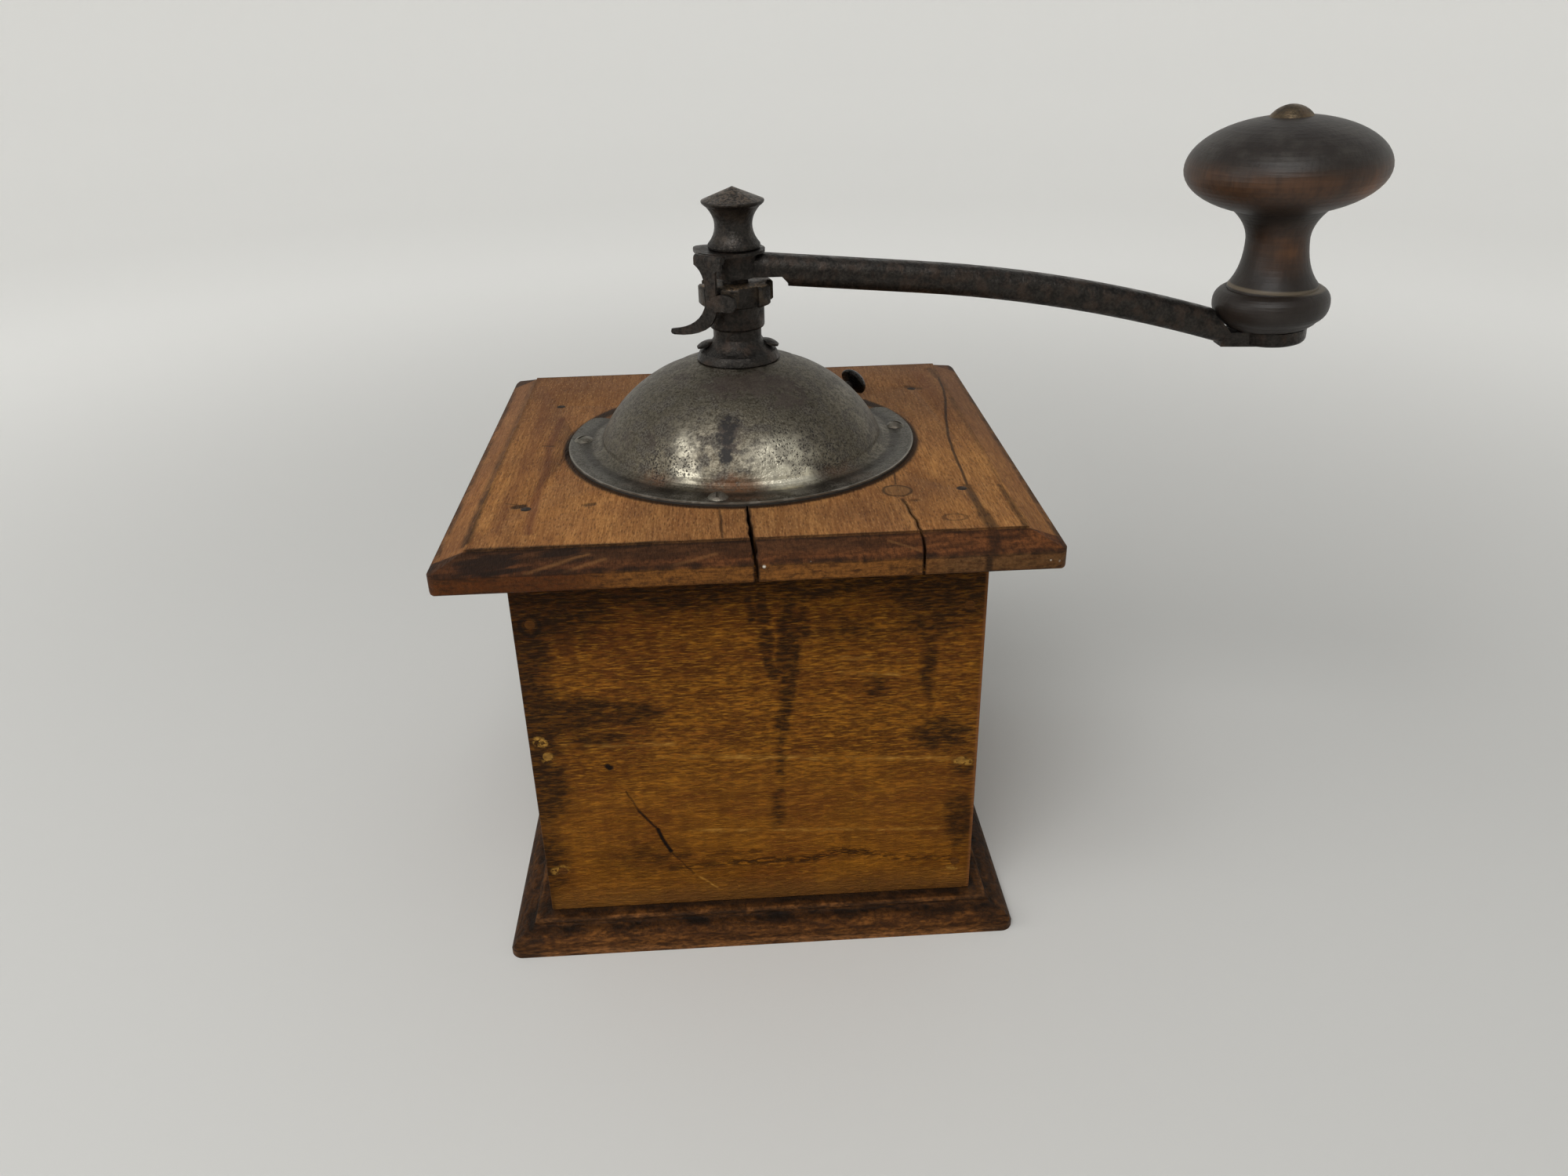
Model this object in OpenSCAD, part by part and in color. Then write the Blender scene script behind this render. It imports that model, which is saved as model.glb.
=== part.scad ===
// Box coffee grinder with a domed iron hopper, a turning hopper door, a hand crank and a drawer.
// Origin: middle of the underside of the plinth. +Z up, photographed face towards -Y, crank along +X.

/* [Box] */
// Width and depth of the plinth
base_w = 142; // [130:1:170]
// Thickness of the plinth
base_t = 7; // [6:0.5:12]
// Width of the box across its side walls
box_w = 120; // [110:1:128]
// Height of the four walls
wall_h = 110; // [104:1:140]
// Thickness of the four walls
wall_t = 9; // [7:0.5:11]
// Width of the top board
board_w = 150; // [142:1:170]
// Depth of the top board, front to back
board_d = 152; // [142:1:170]
// Thickness of the top board
board_t = 8; // [8:0.5:14]
// Height of the square lip below the board's bevel
board_lip = 4.6; // [3:0.2:5]
// Width of the bevel round the board
board_bevel = 8; // [4:0.5:9]
// Radius of the board's and the plinth's corners
corner_r = 3.5; // [1:0.5:6]
// Radius of the hole under the hopper
hopper_hole_r = 29; // [28:0.5:31]

/* [Hopper] */
// Half width of the dome at its widest
dome_r = 42.5; // [42:0.25:44]
// Half height of the full ellipse that the dome is part of
dome_h = 35.8; // [34:0.2:40]
// Depth of that ellipse's middle below the top of the board
dome_sink = 10.4; // [9:0.2:12]
// Thickness of the dome's sheet
sheet_t = 1; // [0.8:0.1:1.2]
// Radius of the flange that lies on the board
flange_r = 49; // [48:0.5:54]
// Radius of the dome's flat crown under the collar
crown_r = 11.8; // [11.5:0.1:13]
// Radius at which the filling window stops below the crown
window_top_r = 17.5; // [17:0.25:22]
// Direction of the window's right edge
window_from = 27; // [20:1:35]
// Width of the window as an angle
window_angle = 126; // [110:1:130]
// Thickness of the door leaf
leaf_t = 0.8; // [0.6:0.1:1]
// Clearance between the door leaf and the dome
leaf_gap = 0.35; // [0.3:0.05:0.5]
// Overlap of the door leaf behind each edge of the window, as an angle
leaf_lap = 6; // [4:1:8]
// Radius of the circle of flange screws
flange_screw_r = 45.2; // [45:0.1:46]

/* [Bearing] */
// Radius of the spindle in its bearing
shaft_r = 3.5; // [3:0.1:4]
// Running clearance of the spindle in its bearings
run_gap = 0.06; // [0.03:0.01:0.1]
// Height of the bearing collar above the crown
collar_h = 15.6; // [13:0.1:18]
// Radius of the collar's foot
collar_foot_r = 11.4; // [11:0.1:11.7]
// Radius of the collar's waist
collar_waist_r = 6.6; // [6.2:0.1:7]
// Radius of the adjusting nut
nut_r = 10.2; // [10:0.1:10.6]
// Height of the adjusting nut
nut_h = 5.4; // [5:0.1:8]
// Number of notches in the adjusting nut
nut_notches = 6; // [6:6:12]
// Width of a notch
notch_w = 5.6; // [3:0.1:5.8]
// Depth of a notch
notch_d = 2; // [1.8:0.1:2.4]
// Height of the bare spindle between the nut and the crank
neck_h = 1.7; // [1.6:0.1:5]

/* [Crank] */
// Distance from the spindle to the knob's pin
crank_r = 149.5; // [120:0.5:170]
// Radius of the crank's hub
hub_r = 6.3; // [6:0.1:7.5]
// Height of the crank's hub
hub_h = 6.3; // [5:0.1:7]
// Side of the spindle's square seat
square_w = 5; // [4.4:0.1:5.2]
// Width of the crank's arm
arm_w = 8; // [7:0.2:9]
// Height of the crank's arm
arm_h = 8.2; // [7.4:0.1:8.6]
// Slope of the arm at the hub, in degrees down
arm_slope = 5; // [3:0.5:6]
// Length of the straight part of the arm
arm_straight = 50; // [40:1:60]
// Radius of the arm's downward bow
arm_bow_r = 420; // [380:5:700]
// Radius of the eye at the arm's end
eye_r = 9.5; // [8:0.1:11]
// Thickness of the eye
eye_t = 4; // [3.5:0.1:5]
// Lean of the eye and its pin towards the spindle
eye_lean = 3; // [0:0.5:4]

/* [Knob] */
// Largest radius of the knob
knob_r = 25.9; // [22:0.1:30]
// Height of the knob from the eye to the seat of the rivet
knob_h = 55.1; // [50:0.1:64]
// Radius of the bead at the knob's foot
knob_bead_r = 15.5; // [13:0.1:16]
// Radius of the knob's waist
knob_waist_r = 8.25; // [7:0.05:11]
// Radius of the knob's pin
pin_r = 2.4; // [2:0.1:3]
// Radius of the rivet's domed head
rivet_r = 5.6; // [4.5:0.1:7]

/* [Pawl] */
// Direction in which the pawl spring hangs
pawl_angle = -130; // [-130:60:-70]
// Distance of the spring's leaf from the spindle's axis
pawl_reach = 11; // [10.9:0.1:12]
// Thickness of the spring
pawl_t = 0.8; // [0.6:0.1:1]

/* [Burrs] */
// Radius of the burr cone at its foot
cone_r = 16; // [15:0.1:17]
// Working gap between the cone and the ring
burr_gap = 0.8; // [0.7:0.1:1.4]
// Number of fine teeth on the cone
fine_teeth = 24; // [18:1:30]
// Number of coarse feed ribs on the cone
feed_ribs = 6; // [5:1:8]
// Radius of the grinding ring's fixing flange
ring_flange_r = 34; // [33:0.5:36]

/* [Drawer] */
// Width of the wall left on each side of the drawer opening
stile_w = 16; // [14:1:24]
// Height of the drawer opening
opening_h = 50; // [40:1:54]
// Clearance round the drawer
drawer_gap = 0.5; // [0.3:0.1:1]
// Thickness of the drawer's sides and back
drawer_side_t = 6; // [4:0.5:8]
// Thickness of the drawer's bottom
drawer_floor_t = 3.5; // [3:0.5:5]
// Length of the drawer knob
pull_len = 16; // [12:0.5:20]

/* [Hidden] */
$fn = 72;

// Small amount by which a cutter passes the face it cuts
over = 1;
// Clearance round a fixed shank in its hole
fixed_gap = 0.05;

// Heights of the wooden box
box_h = base_t + wall_h;
deck_z = box_h + board_t;
half_box = box_w / 2;
inner_half = half_box - wall_t;
opening_w = box_w - 2 * stile_w;

// Mouldings: depth of the quirk beside the board's bevel, and the plinth's steps
board_quirk = 0.5;
board_under = 0.6;
plinth_flat = 3.7;
plinth_bead = 0.9;
plinth_lip = 1.4;

// Nails and screws in the wood
nail_r = 0.9;
nail_len = 22;
nail_head_r = 1.3;
nail_head_t = 0.8;
wall_nail_heights = [[21, 60, 100], [17, 52, 100]];
top_nail_places = [[-1, inner_half - 15], [-1, 6 - inner_half], [1, inner_half - 10], [1, 8 - inner_half]];
base_screw_y = inner_half - 17;
screw_r = 1.6;
screw_head_r = 3.4;
screw_head_t = 2;
screw_grip = 13;
nail_line = half_box - wall_t / 2;

// Drawer bay: the shelf over the drawer rests on its runners
chute_t = 6;
chute_r = 32;
bay_top = base_t + opening_h;
runner_h = opening_h + 1;
shelf_z = base_t + runner_h;
runner_gap = 0.3;

// Hopper: ellipse of the dome's outside, then the levels of the pieces under its crown
dome_z = deck_z - dome_sink;
crown_z = dome_z + dome_h * sqrt(1 - pow(crown_r / dome_r, 2));
foot_rise = 3.4;
foot_out = 2.6;
dome_steps = 16;
window_to = window_from + window_angle;
flange_corner_r = 3.5;
flange_screw_angles = [178, 5, -99];
flange_slot_angles = [35, -40, 4];
flange_head_r = 2.7;
head_h = 1.3;
slot_w = 0.8;
slot_d = 0.6;
flange_shank = 7;
boss_h = 2.5;
boss_r = 11.2;
boss_gap = 0.1;
arch_t = 2;
arch_w = 14;
arch_disc_r = 14.5;
arch_top = crown_z - sheet_t - boss_h;
spigot_r = 5;
arch_foot_in = hopper_hole_r + 0.8;
arch_foot_out = arch_foot_in + 6.5;
arch_foot_t = 2;
arch_head_r = 2;
arch_screw_x = arch_foot_out - arch_head_r - 0.2;
leaf_drop = 0.4;
leaf_low = deck_z + leaf_drop;
leaf_flat = arch_top + 0.2 + leaf_t;
leaf_eye_r = boss_r + boss_gap;
rivet_place = 8.4;
rivet_shank = 1.25;
rivet_head_r = 2.5;
rivet_head_h = 1.2;
rivet_tilt = 20;
rivet_seat_z = crown_z + 3.9;

// Shutter knob: place on the leaf, then its stem and head
door_knob_angle = window_from + 9;
door_knob_rise = 4.4;
stem_r = 1.5;
stem_len = 6.8;
door_head_r = 4.4;
door_head_h = 2.8;

// Adjusting nut, crank and finial stacked on the collar
collar_top = crown_z + collar_h;
nut_top = collar_top + nut_h;
hub_z = nut_top + neck_h;
hub_top = hub_z + hub_h;
finial_z = hub_top + pawl_t;
square_gap = 0.1;
thread_r = 2.3;
thread_len = 9.5;
finial_h = 15.9;
finial_rim_r = 8.5;
finial_foot_r = 7.1;
finial_waist_r = 5.05;
notch_start = pawl_angle;

// Arm: middle line at the hub, then the bow that ends under the knob
arm_rise = 0.1;
arm_top = hub_top + arm_rise;
arm_mid = arm_top - arm_h / 2 / cos(arm_slope);
arm_bend_x = arm_straight;
arm_bend_z = arm_mid - arm_straight * tan(arm_slope);
eye_run = 13.4;
arm_end_x = crank_r - eye_run;
arm_end_slope = asin((arm_end_x - arm_bend_x) / arm_bow_r + sin(arm_slope));
arm_end_z = arm_bend_z - arm_bow_r * (cos(arm_slope) - cos(arm_end_slope));
arm_edge_r = 3.2;
arm_step = 7;
step_run = 1.8;
toe_in = 0.15;
toe_run = 4.2;
toe_round = 1.6;
step_drop = 2;
step_gap = 0.4;
tongue_lap = 0.6;
tongue_in = 1.2;
eye_drop = 0.3;
eye_z = arm_end_z - eye_drop;
eye_shift = 1;
eye_round = 1.7;
scoop_gap = 0.9;
scoop_r = knob_bead_r + scoop_gap;
scoop_foot = 4;
scoop_h = 5;

// Knob: clearances, then its levels above the eye
knob_lift = 0.2;
pin_gap = 0.1;
bead_z = 6.9;
groove_z = 11.4;
neck_low_z = 11.9;
neck_mid_z = 24.3;
cap_low = 23;
cap_drop = 12.5;
neck_high_z = knob_h - cap_low;
cap_z = knob_h - cap_drop;
knob_foot_r = 9;
knob_heel_r = 13.2;
knob_step_r = 12;
rivet_head_rise = 2.9;
rivet_clear = 0.2;

// Pawl spring: the leaf and its wing in the leaf's own plane, across and up
pawl_left = -4.4;
pawl_right = 4.6;
leaf_left = -0.9;
leaf_right = 2.7;
wing_end = 9.2;
wing_low = collar_top + 0.3;
wing_h = 4.4;
wing_high = wing_low + wing_h;
tail_tip = [-13.6, collar_top - 6.7];
tail_low = [-12.6, collar_top - 8.2];
tooth_w = 2.6;
tooth_low = collar_top + 1.2;
tooth_h = 3;
tooth_bite = 1.4;
washer_r = 8.2;
bend_r = 1;
bend_at = pawl_reach + pawl_t - bend_r;

// Burrs: levels under the board
ring_rim_h = 3;
ring_flange_t = 3;
ring_h = 27;
ring_top = box_h + ring_rim_h;
ring_foot = box_h - ring_h;
fine_h = 8;
cone_h = 24;
cone_top_r = 8;
cone_slope = 0.2;
tooth_depth = 0.7;
feed_depth = 1.2;
rib_depth = 2.6;
fine_twist = 14;
rib_twist = 40;
ring_mouth_r = 27;
ring_throat_r = 20;
ring_wall = 4.6;
cone_nut_h = 3;
cone_nut_r = 6.6;
pivot_r = 2.5;
pivot_gap = 3;
bridge_t = 2.5;
bridge_w = 12;
bridge_leg_in = 25.4;
bridge_top = ring_foot - cone_nut_h - pivot_gap;
bridge_boss_r = 6;
bridge_boss_h = 4.5;
bridge_foot_t = 2.5;
ring_screw_r = 31.2;
ring_screw_angles = [45, 135, 225, 315];
ring_shank = 6;

// Drawer: outside of its tray
drawer_lift = 0.2;
face_w = opening_w - 2 * drawer_gap;
face_h = opening_h - drawer_lift - drawer_gap;
face_z = base_t + drawer_lift;
tray_w = face_w - 1;
tray_h = face_h - 4;
tray_back_y = -inner_half + 2;
tray_front_y = half_box - wall_t;
pull_z = face_z + face_h / 2;
pull_r = 9;
pull_neck_r = 4.6;
pull_screw_r = 1.6;
pull_screw_len = 12;

// Colours
beech = "#8f5a2c";
dark_beech = "#5a3418";
amber = "#9a6428";
steel = "#6e6a60";
iron = "#3a3734";
cast = "#4a4a46";
dark_wood = "#3c241a";

// Points on an ellipse with its middle at [0, mid], from one angle to another
function ellipse(a, b, mid, from, to, steps) =
  [for (i = [0 : steps]) let (t = from + (to - from) * i / steps) [a * cos(t), mid + b * sin(t)]];

// Points on a curve from p to r, drawn towards q, without its first point
function curve(p, q, r, steps) =
  [for (i = [1 : steps]) let (t = i / steps) p * pow(1 - t, 2) + q * 2 * t * (1 - t) + r * pow(t, 2)];

// Points of a star: each tooth has a tip and a root
function star(r, depth, teeth) =
  [for (i = [0 : 2 * teeth - 1]) let (a = 180 * i / teeth, d = i % 2 == 0 ? r : r - depth) [d * cos(a), d * sin(a)]];

module round_rect(w, d, r) {
  square([w - 2 * r, d], center = true);
  square([w, d - 2 * r], center = true);
  for (x = [-1, 1], y = [-1, 1])
    translate([x * (w / 2 - r), y * (d / 2 - r)])
      circle(r);
}

// A board whose edge moulding, given as half of its section, is mitred at the corners
module moulded_board(w, d, r, w_section, d_section) {
  intersection() {
    rotate([90, 0, 0])
      linear_extrude(d + 2 * over, center = true)
        polygon(concat(w_section, [for (i = [len(w_section) - 1 : -1 : 0]) [-w_section[i][0], w_section[i][1]]]));
    rotate([90, 0, 90])
      linear_extrude(w + 2 * over, center = true)
        polygon(concat(d_section, [for (i = [len(d_section) - 1 : -1 : 0]) [-d_section[i][0], d_section[i][1]]]));
    linear_extrude(deck_z + over)
      round_rect(w, d, r);
  }
}

// Low domed head, its flat underside on the local origin
module domed_head(r, h) {
  ball = (r * r + h * h) / (2 * h);
  rotate_extrude()
    polygon(concat([[0, 0]], [for (i = [0 : 6]) let (t = asin(r / ball) * (1 - i / 6))
      [ball * sin(t), ball * cos(t) - ball + h]]));
}

// Slotted screw with a domed head, its shank down from the local origin
module slotted_screw(r, h, shank, length) {
  difference() {
    union() {
      domed_head(r, h);
      translate([0, 0, -length])
        cylinder(r = shank, h = length + h / 2);
    }
    translate([-r - over, -slot_w / 2, h - slot_d])
      cube([2 * (r + over), slot_w, slot_d + over]);
  }
}

// Nail from the local origin along -Z, with its flat head flush
module nail(extra) {
  translate([0, 0, -nail_len])
    cylinder(r = nail_r + extra, h = nail_len);
  translate([0, 0, -nail_head_t])
    cylinder(r = nail_head_r + extra, h = nail_head_t);
}

// The nails that hold the front and back walls to the side walls
module wall_nail_set(extra) {
  for (side = [-1, 1], x = [-1, 1], z = wall_nail_heights[x < 0 ? 0 : 1])
    translate([x * nail_line, side * half_box, z])
      rotate([-90 * side, 0, 0])
        nail(extra);
}

// The nails that hold the top board to the side walls
module top_nail_set(extra) {
  for (place = top_nail_places)
    translate([place[0] * nail_line, place[1], deck_z])
      nail(extra);
}

// Countersunk screws up through the plinth into the side walls
module base_screw_set(extra) {
  for (x = [-1, 1], y = [-1, 1])
    translate([x * nail_line, y * base_screw_y, 0]) {
      cylinder(r = screw_r + extra, h = base_t + screw_grip);
      cylinder(r1 = screw_head_r + extra, r2 = screw_r + extra, h = screw_head_t + extra);
    }
}

module base_board() {
  color(dark_beech)
    difference() {
      moulded_board(base_w, base_w, corner_r, plinth_section(base_w / 2), plinth_section(base_w / 2));
      base_screw_set(fixed_gap);
    }
}

// Half section of the plinth: lip, quarter round, bead and flat
function plinth_section(half) = concat(
  [[half, 0], [half, plinth_lip]],
  curve([half, plinth_lip], [half - 0.6, base_t - 2], [half_box + plinth_flat + 1.6, base_t - 1.5], 6),
  [[half_box + plinth_flat + plinth_bead, base_t - 1.1]],
  curve([half_box + plinth_flat + plinth_bead, base_t - 1.1], [half_box + plinth_flat + plinth_bead, base_t],
    [half_box + plinth_flat, base_t], 3));

// Half section of the top board: lip, bevel and quirk
function board_section(half) = [[half - board_under, box_h], [half, box_h + board_under],
  [half, box_h + board_lip], [half - board_bevel, deck_z - board_quirk], [half - board_bevel, deck_z]];

module top_board() {
  color(beech)
    difference() {
      moulded_board(board_w, board_d, corner_r, board_section(board_w / 2), board_section(board_d / 2));
      translate([0, 0, box_h - over])
        cylinder(r = hopper_hole_r, h = board_t + 2 * over);
      top_nail_set(fixed_gap);
      for (a = flange_screw_angles)
        rotate([0, 0, a])
          translate([flange_screw_r, 0, deck_z - flange_shank])
            cylinder(r = screw_r, h = flange_shank + over);
      for (x = [-1, 1])
        translate([x * arch_screw_x, 0, deck_z - flange_shank])
          cylinder(r = screw_r, h = flange_shank + over);
      for (a = ring_screw_angles)
        rotate([0, 0, a])
          translate([ring_screw_r, 0, box_h - over])
            cylinder(r = screw_r, h = ring_shank + over);
    }
}

module front_wall() {
  color(amber)
    difference() {
      translate([-half_box, -half_box, base_t])
        cube([box_w, wall_t, wall_h]);
      wall_nail_set(fixed_gap);
    }
}

module back_wall() {
  color(amber)
    difference() {
      translate([-half_box, half_box - wall_t, base_t])
        cube([box_w, wall_t, wall_h]);
      translate([-opening_w / 2, half_box - wall_t - over, base_t - over])
        cube([opening_w, wall_t + 2 * over, opening_h + over]);
      wall_nail_set(fixed_gap);
    }
}

module side_wall(side) {
  color(amber)
    difference() {
      translate([side < 0 ? -half_box : inner_half, -inner_half, base_t])
        cube([wall_t, 2 * inner_half, wall_h]);
      wall_nail_set(fixed_gap);
      top_nail_set(fixed_gap);
      base_screw_set(fixed_gap);
    }
}

module left_wall() {
  side_wall(-1);
}

module right_wall() {
  side_wall(1);
}

// Guide strip between the drawer and a side wall
module runner(side) {
  strip_w = inner_half - face_w / 2 - runner_gap;
  color(dark_beech)
    translate([side < 0 ? -inner_half : inner_half - strip_w, -inner_half, base_t])
      cube([strip_w, 2 * inner_half, runner_h]);
}

module left_runner() {
  runner(-1);
}

module right_runner() {
  runner(1);
}

// Shelf over the drawer, with a funnel-edged hole under the burrs
module chute_board() {
  color(dark_beech)
    difference() {
      translate([-inner_half, -inner_half, shelf_z])
        cube([2 * inner_half, 2 * inner_half, chute_t]);
      translate([0, 0, shelf_z - over])
        cylinder(r = chute_r, h = chute_t + 2 * over);
      translate([0, 0, shelf_z + chute_t / 2])
        cylinder(r1 = chute_r, r2 = chute_r + chute_t / 2 + over, h = chute_t / 2 + over);
    }
}

module wall_nails() {
  color(iron)
    wall_nail_set(0);
}

module top_nails() {
  color(iron)
    top_nail_set(0);
}

module base_screws() {
  color(iron)
    difference() {
      base_screw_set(0);
      for (x = [-1, 1], y = [-1, 1])
        translate([x * nail_line, y * base_screw_y, 0])
          cube([2 * screw_head_r + over, slot_w, 2 * slot_d], center = true);
    }
}

// Section of a shell that follows the dome, drawn in from its outside by the given distance
function shell_side(inset, low, top, steps) = let (a = dome_r - inset, b = dome_h - inset)
  ellipse(a, b, dome_z, asin((low - dome_z) / b), asin((top - dome_z) / b), steps);

// Half section of the dome with its rolled foot and flange
function dome_section() = let (
    outer_low = deck_z + foot_rise,
    outer = shell_side(0, outer_low, crown_z, dome_steps),
    inner = shell_side(sheet_t, outer_low - sheet_t, crown_z - sheet_t, dome_steps),
    foot = dome_r + foot_out - sheet_t - 1.2)
  concat(
    [[flange_r, deck_z], [flange_r, deck_z + sheet_t]],
    [[foot, deck_z + sheet_t]],
    curve([foot, deck_z + sheet_t], [outer[0][0] + 0.5, deck_z + sheet_t], outer[0], 5),
    [for (i = [1 : dome_steps]) outer[i]],
    [[spigot_r + fixed_gap, crown_z], [spigot_r + fixed_gap, crown_z - sheet_t]],
    [for (i = [dome_steps : -1 : 0]) inner[i]],
    curve(inner[0], [inner[0][0] + 0.5, deck_z], [foot, deck_z], 5));

// Plan of what rounds a flange end's outer corner, the end lying along +X
module corner_cut() {
  translate([flange_r - flange_corner_r, -flange_corner_r])
    difference() {
      square(flange_corner_r + over);
      circle(flange_corner_r);
    }
}

module hopper_dome() {
  color(steel)
    difference() {
      rotate_extrude()
        polygon(dome_section());
      rotate([0, 0, window_from])
        rotate_extrude(angle = window_angle)
          translate([window_top_r, deck_z - over])
            square([flange_r, dome_h]);
      translate([0, 0, deck_z - over])
        linear_extrude(sheet_t + 2 * over) {
          rotate([0, 0, window_from])
            corner_cut();
          rotate([0, 0, window_to])
            mirror([0, 1])
              corner_cut();
        }
      for (a = flange_screw_angles)
        rotate([0, 0, a])
          translate([flange_screw_r, 0, deck_z - over])
            cylinder(r = screw_r, h = sheet_t + 2 * over);
      rivet_holes();
    }
}

// Holes for the two rivets through the collar, the crown and the arch
module rivet_holes() {
  for (x = [-1, 1])
    translate([x * rivet_place, 0, arch_top - arch_t - over])
      cylinder(r = rivet_shank + fixed_gap, h = boss_h + arch_t + collar_h);
}

module bearing_collar() {
  skirt_z = crown_z + 2.5;
  waist_low = crown_z + 6.2;
  waist_high = crown_z + 8.8;
  bead_low = crown_z + 10;
  bead_r = collar_waist_r + 1;
  color(iron)
    difference() {
      rotate_extrude()
        polygon(concat(
          [[shaft_r + run_gap, arch_top - arch_t], [spigot_r, arch_top - arch_t], [spigot_r, crown_z],
           [collar_foot_r - 0.3, crown_z], [collar_foot_r, crown_z + 0.4]],
          curve([collar_foot_r, crown_z + 0.4], [collar_foot_r - 0.2, crown_z + 1.6], [collar_foot_r - 0.9, skirt_z], 4),
          curve([collar_foot_r - 0.9, skirt_z], [collar_waist_r + 1.2, crown_z + 3.7], [collar_waist_r, waist_low], 8),
          [[collar_waist_r, waist_high]],
          curve([collar_waist_r, waist_high], [bead_r, waist_high], [bead_r, bead_low], 4),
          [[bead_r, collar_top - 0.9]],
          curve([bead_r, collar_top - 0.9], [bead_r, collar_top], [bead_r - 0.7, collar_top], 3),
          [[shaft_r + run_gap, collar_top]]));
      for (x = [-1, 1])
        rivet_frame(x)
          cylinder(r = rivet_head_r + fixed_gap, h = collar_h);
      for (x = [-1, 1])
        translate([x * rivet_place, 0, crown_z - over])
          cylinder(r = rivet_shank + fixed_gap, h = 2 * over + 3);
    }
}

// Local frame of a rivet's head: it leans out over the collar's skirt
module rivet_frame(side) {
  translate([side * (rivet_place + 0.4), 0, rivet_seat_z])
    rotate([0, side * rivet_tilt, 0])
      children();
}

module collar_rivets() {
  color(iron)
    for (x = [-1, 1]) {
      rivet_frame(x) {
        cylinder(r = rivet_head_r, h = rivet_head_h / 2);
        translate([0, 0, rivet_head_h / 2])
          domed_head(rivet_head_r, rivet_head_h / 2);
      }
      translate([x * rivet_place, 0, arch_top - arch_t])
        cylinder(r = rivet_shank, h = rivet_seat_z - arch_top + arch_t);
      translate([x * rivet_place, 0, arch_top - arch_t])
        mirror([0, 0, 1])
          domed_head(rivet_shank + 1, 0.8);
    }
}

module flange_screws() {
  color(iron)
    for (i = [0 : len(flange_screw_angles) - 1])
      rotate([0, 0, flange_screw_angles[i]])
        translate([flange_screw_r, 0, deck_z + sheet_t])
          rotate([0, 0, flange_slot_angles[i]])
            slotted_screw(flange_head_r, head_h, screw_r - fixed_gap, flange_shank);
}

// Bridge under the dome: it spaces the door's eye and stands on the board
module inner_arch() {
  half_crown = boss_r + 0.4;
  color(iron)
    difference() {
      union() {
        rotate([90, 0, 0])
          linear_extrude(arch_w, center = true)
            polygon([
              [-half_crown, arch_top], [half_crown, arch_top],
              [arch_foot_in + arch_t, deck_z + arch_foot_t], [arch_foot_out, deck_z + arch_foot_t],
              [arch_foot_out, deck_z], [arch_foot_in, deck_z],
              [half_crown - 0.8, arch_top - arch_t], [0.8 - half_crown, arch_top - arch_t],
              [-arch_foot_in, deck_z], [-arch_foot_out, deck_z],
              [-arch_foot_out, deck_z + arch_foot_t], [-arch_foot_in - arch_t, deck_z + arch_foot_t]]);
        translate([0, 0, arch_top - arch_t])
          cylinder(r = arch_disc_r, h = arch_t);
        translate([0, 0, arch_top])
          cylinder(r = boss_r, h = boss_h);
      }
      translate([0, 0, arch_top - arch_t - over])
        cylinder(r = spigot_r + fixed_gap, h = arch_t + boss_h + 2 * over);
      rivet_holes();
      for (x = [-1, 1])
        translate([x * arch_screw_x, 0, deck_z - over])
          cylinder(r = screw_r, h = arch_foot_t + 2 * over);
    }
}

module arch_screws() {
  color(iron)
    for (x = [-1, 1])
      translate([x * arch_screw_x, 0, deck_z + arch_foot_t])
        slotted_screw(arch_head_r, head_h, screw_r - fixed_gap, flange_shank);
}

// Outer burr: funnel mouth, ribbed throat and a band of fine teeth
module grinding_ring() {
  fine_top = ring_foot + fine_h;
  fine_in = cone_r + burr_gap;
  fine_top_in = fine_in - cone_slope * fine_h;
  color(cast)
    difference() {
      rotate_extrude()
        polygon([
          [0, ring_foot], [fine_in + ring_wall, ring_foot], [ring_throat_r + ring_wall, box_h - ring_flange_t - 4],
          [ring_throat_r + ring_wall, box_h - ring_flange_t], [ring_flange_r, box_h - ring_flange_t],
          [ring_flange_r, box_h], [hopper_hole_r - 0.3, box_h], [hopper_hole_r - 0.3, ring_top], [0, ring_top]]);
      translate([0, 0, box_h - ring_flange_t - 4])
        cylinder(r1 = ring_throat_r, r2 = ring_mouth_r + 0.8, h = ring_rim_h + ring_flange_t + 4.8);
      translate([0, 0, fine_top - 0.01])
        linear_extrude(box_h - ring_flange_t - 4 - fine_top + 0.02, twist = -rib_twist,
            scale = ring_throat_r / fine_top_in, slices = 6)
          polygon(star(fine_top_in + feed_depth, feed_depth, 2 * feed_ribs));
      translate([0, 0, ring_foot - 0.01])
        linear_extrude(fine_h + 0.02, twist = -fine_twist, scale = fine_top_in / fine_in, slices = 4)
          polygon(star(fine_in + tooth_depth, tooth_depth, fine_teeth));
      for (a = ring_screw_angles)
        rotate([0, 0, a])
          translate([ring_screw_r, 0, box_h - ring_flange_t - over])
            cylinder(r = screw_r, h = ring_flange_t + 2 * over);
    }
}

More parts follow.
